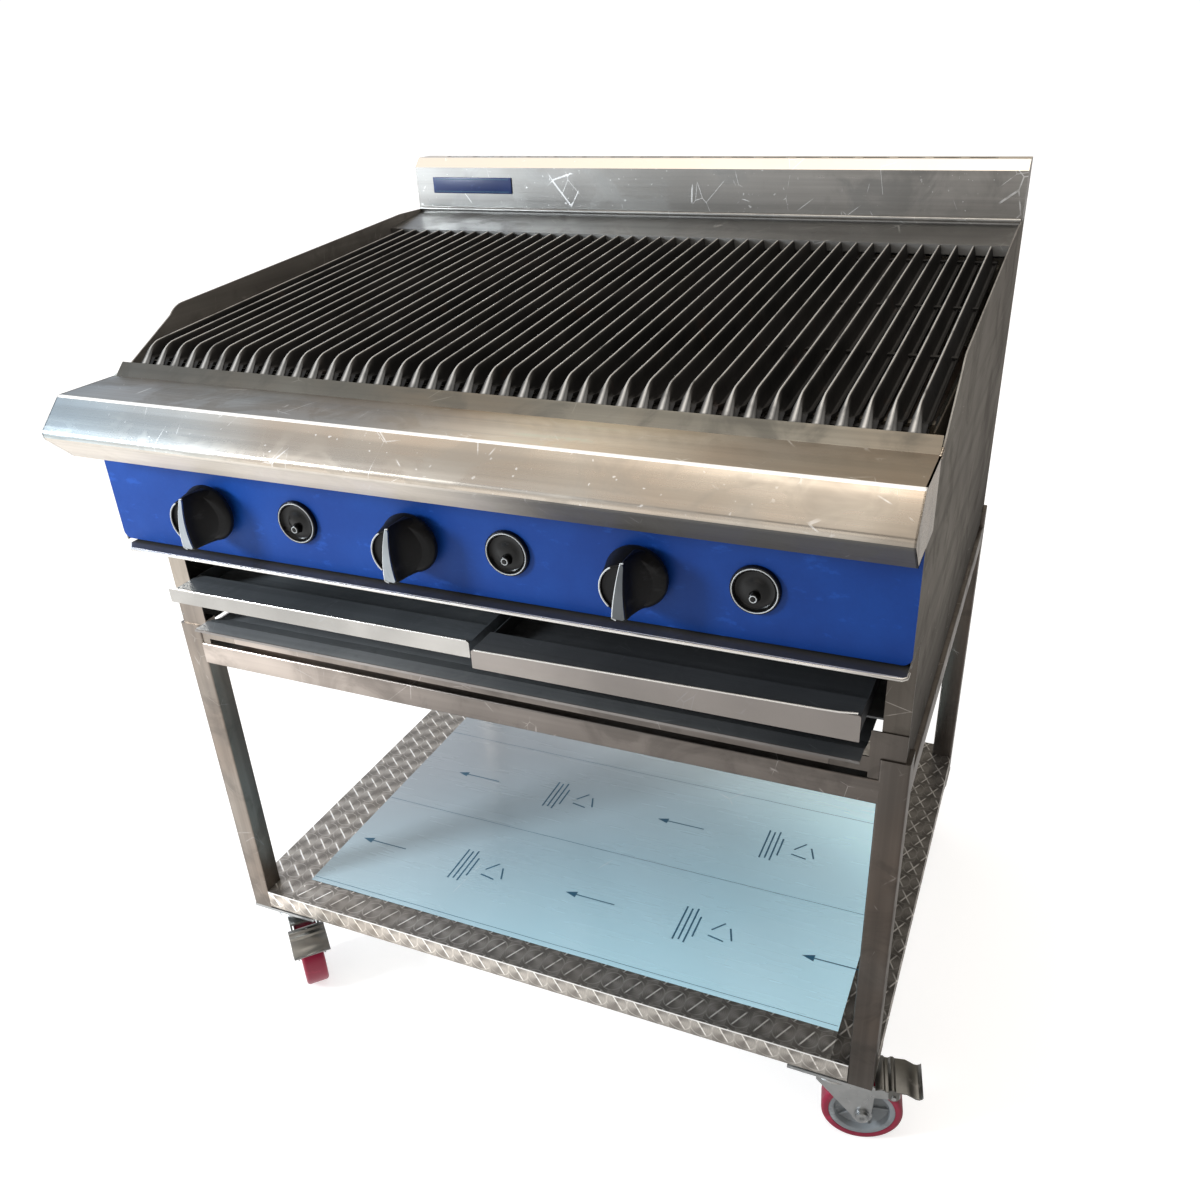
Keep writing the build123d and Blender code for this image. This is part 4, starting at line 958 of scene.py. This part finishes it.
# radius and distance from the middle of the wheel
HUB_HALF = [(5.1, 17.0), (11.5, 17.0), (12.6, 16.0), (13.5, 8.0), (16.0, 6.0), (29.0, 5.0), (32.5, 7.0),
            (34.5, 14.0), (36.0, 15.0), (40.6, 15.0), (41.0, 14.5)]
SPOKE = ((13.0, -1.6), (33.5, -1.2), (33.5, 1.2), (13.0, 1.6))
RACE = ((22, 110.2), (29.5, 110.2), (31.0, 111.4), (31.0, 113.6), (29.6, 114.9), (22, 114.9))
PEDAL_TOP = [(47, 105.6), (50, 106.6), (54, 108.0), (57, 108.1), (59, 105.6), (63, 105.2), (66, 108.0),
             (69, 108.1), (71.5, 105.8), (84, 105.6), (90, 102.2), (95.5, 98.9), (99.5, 98.6), (102.5, 100.4),
             (104, 102.4)]
PEDAL_THICK = 2.0
PEDAL_HALF = 25.5  # half its width
TAB_IN = 21.0


def tyre_and_hub(name):
    put_at = along(name)

    def place(a, b, h):
        return put_at(TRAIL + a, h, AXLE_Z + b)

    bm = bmesh.new()
    outer = [(41.0, -15.5), (45.0, -16.0)] + arc((45.5, -11.5), 4.5, -90, 0, 5)
    outer += arc((45.5, 11.5), 4.5, 0, 90, 5) + [(45.0, 16.0), (41.0, 15.5)]
    lathe(bm, outer, place, 72, closed=True)
    piece(f"tread_{name}", bm, RED, f"wheel_{name}", (f"tyre_{name}",), 40)
    bm = bmesh.new()
    lathe(bm, [(r, -h) for r, h in HUB_HALF] + HUB_HALF[::-1], place, 64, closed=True)
    for i in range(5):
        t = 2 * math.pi * i / 5
        for side in (-1, 1):
            def spoke(u, v, d, c=math.cos(t), s=math.sin(t), k=side):
                return place(u * c - v * s, u * s + v * c, k * (4.5 + d))
            prism(bm, SPOKE, spoke, 4.0)
    piece(f"wheel_hub_{name}", bm, GREY, f"wheel_{name}", (f"hub_{name}",), 35)
    bm = bmesh.new()
    hexagon = [(8.2 * math.cos(math.radians(t)), 8.2 * math.sin(math.radians(t))) for t in range(0, 360, 60)]
    for side in (-1, 1):
        def out(a, b, h, k=side):
            return place(a, b, k * (20.5 + h))
        lathe(bm, [(0, 0.0), (9.5, 0.0), (9.5, 1.0), (0, 1.0)], out, 32)
        prism(bm, hexagon, lambda u, v, d: out(u, v, 1.0 + d), 4.6)
        lathe(bm, [(0, 5.6), (3.6, 5.6), (4.2, 5.0), (4.2, 4.0)], out, 20)
    piece(f"axle_nuts_{name}", bm, ZINC, f"fork_{name}", (), 30, bevel=0.4)


def fork_cover(name):
    """The pressed dome of the ball race, under the top plate."""
    bm = bmesh.new()
    lathe(bm, RACE, along(name), 48, closed=True)
    piece(f"race_{name}", bm, ZINC, f"fork_{name}", (), 40)


def pedal(name):
    put_at = along(name)
    bm = bmesh.new()
    outline = PEDAL_TOP + [(u, z - PEDAL_THICK) for u, z in PEDAL_TOP][::-1]
    prism(bm, outline, lambda u, z, d: put_at(u, d - PEDAL_HALF, z), 2 * PEDAL_HALF)
    tab = [(63.5, 104.5), (63.5, 92)] + arc((70, 92), 6.5, 180, 360, 10) + [(76.5, 104.5)]
    for side in (-1, 1):
        prism(bm, tab, lambda u, z, d, k=side: put_at(u, k * (TAB_IN + d), z), PEDAL_THICK)
    piece(f"pedal_{name}", bm, PEDAL, f"pedal_{name}", (f"brake_pedal_{name}",), 30, bevel=0.4)


for name in HEADINGS:
    tyre_and_hub(name)
    fork_cover(name)
for name in ("front_right", "front_left"):
    pedal(name)


# -------------------- nosing, with true bends

low, high = mm_box("front_nosing")
top = high.z
rear = high.y
BEND = (-374.0, top - 5.0)  # the middle of the bend above, and of the round front edge
TIP = (-399.0, 882.0)
THICK = 1.5
skin = [(rear, top)] + arc(BEND, 5.0, 90, 140, 5) + arc(TIP, 9.0, 146, 228, 8)
skin += [(-378.0, low.z), (-340.0, low.z)]
inner = [(-340.0, low.z + THICK), (-377.0, low.z + THICK)] + arc(TIP, 9.0 - THICK, 228, 146, 8)
inner += arc(BEND, 5.0 - THICK, 140, 90, 5) + [(rear, top - THICK)]
bm = bmesh.new()
prism(bm, skin + inner, lambda u, v, d: (low.x + d, u, v), high.x - low.x)
cap = [(rear, low.z)] + skin[:-1]
for x in (low.x, high.x - THICK):
    prism(bm, cap, lambda u, v, d, x=x: (x + d, u, v), THICK)
nosing = piece("nosing", bm, STEEL, ROOT, ("front_nosing",), 25)
# the bend, the upward and the downward faces take lit and shaded copies of the steel: a painted highlight on
# the bend, painted reflection and highlight on the deck, painted light under the nose
for extra in (GLINT, DECK, UNDER):
    nosing.data.materials.append(extra)
for face in nosing.data.polygons:
    bend = face.center / MM
    if bend.z > top - 3.4 and -379.0 < bend.y < -374.2 and face.normal.z > 0.5:
        face.material_index = 1
    elif face.normal.z > 0.95:
        face.material_index = 2
    elif face.normal.z < -0.3 and bend.y < -378.5:
        face.material_index = 3


# -------------------- square tubes with rounded corners


TUBE = 30.0
CORNER = 2.6  # the radius of a tube's corners
OVERLAP = 2.0  # of a beam's end into the leg


def tubes(name, node, runs, mat):
    """Rounded square tubes; each run is (axis, near corner, far corner)."""
    bm = bmesh.new()
    for axis, near, far in runs:
        across = [i for i in range(3) if i != axis]
        (u0, v0), (u1, v1) = [near[i] for i in across], [far[i] for i in across]
        left, right = u0 + CORNER, u1 - CORNER
        foot, top = v0 + CORNER, v1 - CORNER
        outline = arc((right, top), CORNER, 0, 90, 4) + arc((left, top), CORNER, 90, 180, 4)
        outline += arc((left, foot), CORNER, 180, 270, 4) + arc((right, foot), CORNER, 270, 360, 4)

        def put_at(u, v, d, axis=axis, start=near[axis]):
            spot = [u, v]
            spot.insert(axis, start + d)
            return tuple(spot)

        prism(bm, outline, put_at, far[axis] - near[axis])
    piece(name, bm, mat, ROOT, (node,), 50)


low, high = mm_box("stand_legs")
runs = [(2, (x, y, low.z), (x + TUBE, y + TUBE, high.z))
        for x in (low.x, high.x - TUBE) for y in (low.y, high.y - TUBE)]
tubes("leg_tubes", "stand_legs", runs, LEGS)
low, high = mm_box("stand_beams")
reach = TUBE - OVERLAP
runs = [(0, (low.x + reach, y, low.z), (high.x - reach, y + TUBE, high.z)) for y in (low.y, high.y - TUBE)]
runs += [(1, (x, low.y + reach, low.z), (x + TUBE, high.y - reach, high.z)) for x in (low.x, high.x - TUBE)]
tubes("beam_tubes", "stand_beams", runs, BEAMS)


# -------------------- tray flanges with curled hems


HEM_ENDS = {"left": (664.0, 666.0), "right": (668.0, 675.0)}  # the height of a hem at each end
HEM_STEPS = 24
CURL = 0.93  # from here on the right hem bends up


def tray_trim(side):
    low, high = mm_box(f"drip_tray_{side}")
    bm = bmesh.new()
    left_z, right_z = HEM_ENDS[side]
    rings = []
    for i in range(HEM_STEPS + 1):
        t = i / HEM_STEPS
        x = low.x + 3 + (high.x - low.x - 6) * t
        z = left_z + (right_z - left_z) * t
        if side == "right" and t > CURL:
            z += 2.2 * ((t - CURL) / (1 - CURL)) ** 2
        rings.append([bm.verts.new((x, low.y + 0.9 + a, z + b)) for a, b in arc((0, 0), 1.2, 0, 315, 7)])
    loft(bm, rings)
    # painted highlight: the hem takes the bright hem steel
    piece(f"tray_hem_{side}", bm, BRIGHT, f"tray_{side}", (), 60)


tray_trim("left")
tray_trim("right")


# -------------------- bright folded edge of the lip, its brightness a painted highlight

low, high = mm_box("control_box_floor")
bm = bmesh.new()
hem_z = (low.z + high.z) / 2
hem = [(low.x - 0.2, low.y + 12.5, hem_z), (low.x + 12.0, low.y - 0.2, hem_z)]
hem += [(low.x + 12.0 + (high.x - low.x - 15.0) * i / 12, low.y - 0.2, hem_z) for i in range(1, 12)]
hem += [(high.x - 3.0, low.y - 0.2, hem_z), (high.x + 0.2, low.y + 3.5, hem_z)]
hem.append((high.x + 0.2, low.y + 12.5, hem_z))
wire(bm, hem, 1.9, 10)
piece("lip_hem", bm, BRIGHT, ROOT, (), 60)


# -------------------- welds and screws


def welds():
    """Small uneven beads where sheets meet."""
    bm = bmesh.new()
    spots = []
    for x in (-449.0, 449.0):
        for i in range(6):
            spots.append((x, -298.0 + i * 2.2, 914.6 + i * 0.6, 2.0))
        for i in range(5):
            spots.append((x * 0.998, -290.0, 600.0 + i * 3.0, 1.4))
    for x, y, z, r in spots:
        r *= random.uniform(0.8, 1.15)
        c = Vector((x, y + random.uniform(-0.3, 0.3), z))
        turns = [math.pi * k / 6 for k in range(7)]
        lathe(bm, [(r * math.sin(t), r * math.cos(t)) for t in turns],
              lambda a, b, h, c=c: (c.x + a, c.y + b * 1.3, c.z + h), 10)
    piece("weld_beads", bm, STEEL, ROOT, (), 60)


def screws():
    """Domed screw heads on the back sheet."""
    bm = bmesh.new()
    low, high = mm_box("rear_panel")
    for x in (-425.0, -210.0, 0.0, 210.0, 425.0):
        for z in (600.0, 975.0):
            lathe(bm, [(0, 2.6), (1.8, 2.4), (3.4, 1.6), (4.2, 0.4), (4.3, -0.2)], along_y(x, high.y, z), 20)
    piece("back_screws", bm, ZINC, ROOT, (), 40)


welds()
screws()


# -------------------- floor, light and camera

bm = bmesh.new()
bmesh.ops.create_grid(bm, x_segments=1, y_segments=1, size=160.0 / MM)
floor = new_object("floor", bm)
ground = Mat("pale_floor", Roughness=0.9, Emission_Strength=0.62)
shade = ground.mix(ground.noise(2.0).span(0.0, 0.5), (0.9, 0.9, 0.9), (0.86, 0.86, 0.86))
ground.set("Base Color", ground.mix(ground.noise(1.2).span(0.0, 0.4), (0.5, 0.5, 0.5), (0.46, 0.46, 0.46)))
ground.set("Emission Color", shade)
look = ground.tree.nodes.new("ShaderNodeLightPath")
glow = ground.x.above(-0.05, 0.65) * -1.07 + 1.25
seen_by_eye = Sock(ground.tree, look.outputs["Is Camera Ray"])
ground.set("Emission Strength", ((seen_by_eye * -1.0 + 1.0) * (glow - 1.2) + 1.2) * 0.62)
floor.data.materials.append(ground.mat)

bpy.context.scene.view_settings.view_transform = "Standard"

world = bpy.data.worlds.new("studio")
bpy.context.scene.world = world
world.use_nodes = True
tree = world.node_tree
sky = tree.nodes["Background"]
source = tree.nodes.new("ShaderNodeTexCoord")
split = tree.nodes.new("ShaderNodeSeparateXYZ")
tree.links.new(source.outputs["Generated"], split.inputs[0])
east, north, height = (Sock(tree, s) for s in split.outputs)


def blend(factor, a, b):
    return mix_colours(tree, factor, a, b)


# a room: dark brown to the right, olive behind, a warm ceiling and a cool bright wall to the left
room = blend(north.above(0.25, 0.5), (0.34, 0.31, 0.28), (0.42, 0.385, 0.32))
room = blend(east.above(0.35, 0.45), room, (0.055, 0.05, 0.046))
room = blend((east * -1.0).above(0.5, 0.35), room, (0.85, 0.97, 1.15))
room = blend(height.above(0.72, 0.14), room, (1.5, 1.4, 1.28))
tree.links.new(room.socket, sky.inputs["Color"])
sky.inputs["Strength"].default_value = 1.0
paper = tree.nodes.new("ShaderNodeBackground")
paper.inputs["Color"].default_value = (1.05, 1.05, 1.05, 1)
seen = tree.nodes.new("ShaderNodeLightPath")
either = tree.nodes.new("ShaderNodeMixShader")
tree.links.new(seen.outputs["Is Camera Ray"], either.inputs[0])
tree.links.new(sky.outputs[0], either.inputs[1])
tree.links.new(paper.outputs[0], either.inputs[2])
tree.links.new(either.outputs[0], tree.nodes["World Output"].inputs["Surface"])


def area(name, place, target, size, power, colour=(1, 1, 1)):
    light = bpy.data.lights.new(name, "AREA")
    light.shape = "RECTANGLE"
    light.size, light.size_y = size
    light.energy = power
    light.color = colour
    obj = bpy.data.objects.new(name, light)
    obj.location = place
    obj.rotation_euler = (Vector(target) - Vector(place)).to_track_quat("-Z", "Y").to_euler()
    bpy.context.scene.collection.objects.link(obj)


area("window", (-2.1, -2.0, 1.7), (-0.1, -0.2, 0.6), (0.5, 0.7), 68, (0.88, 0.95, 1.0))
area("front", (0.2, -3.4, 1.5), (0, 0, 0.5), (2.2, 1.2), 9, (1.0, 0.97, 0.93))
area("ceiling", (0.2, -0.6, 3.2), (0, 0, 0.9), (1.6, 1.2), 12, (1.0, 0.94, 0.86))

data = bpy.data.cameras.new("camera")
camera = bpy.data.objects.new("camera", data)
bpy.context.scene.collection.objects.link(camera)
right = Vector((0.9244, 0.3801, -0.0326)).normalized()
forward = Vector((-0.347, 0.8022, -0.4858)).normalized()
up = right.cross(forward).normalized()
turn = Matrix((right, up, -forward)).transposed().to_4x4()
camera.matrix_world = Matrix.Translation((0.5354, -1.1662, 1.2180)) @ turn
data.sensor_width = 36.0
data.lens = 31.805
data.shift_x = -0.0208
data.shift_y = 0.0307
data.clip_start = 0.02
bpy.context.scene.camera = camera
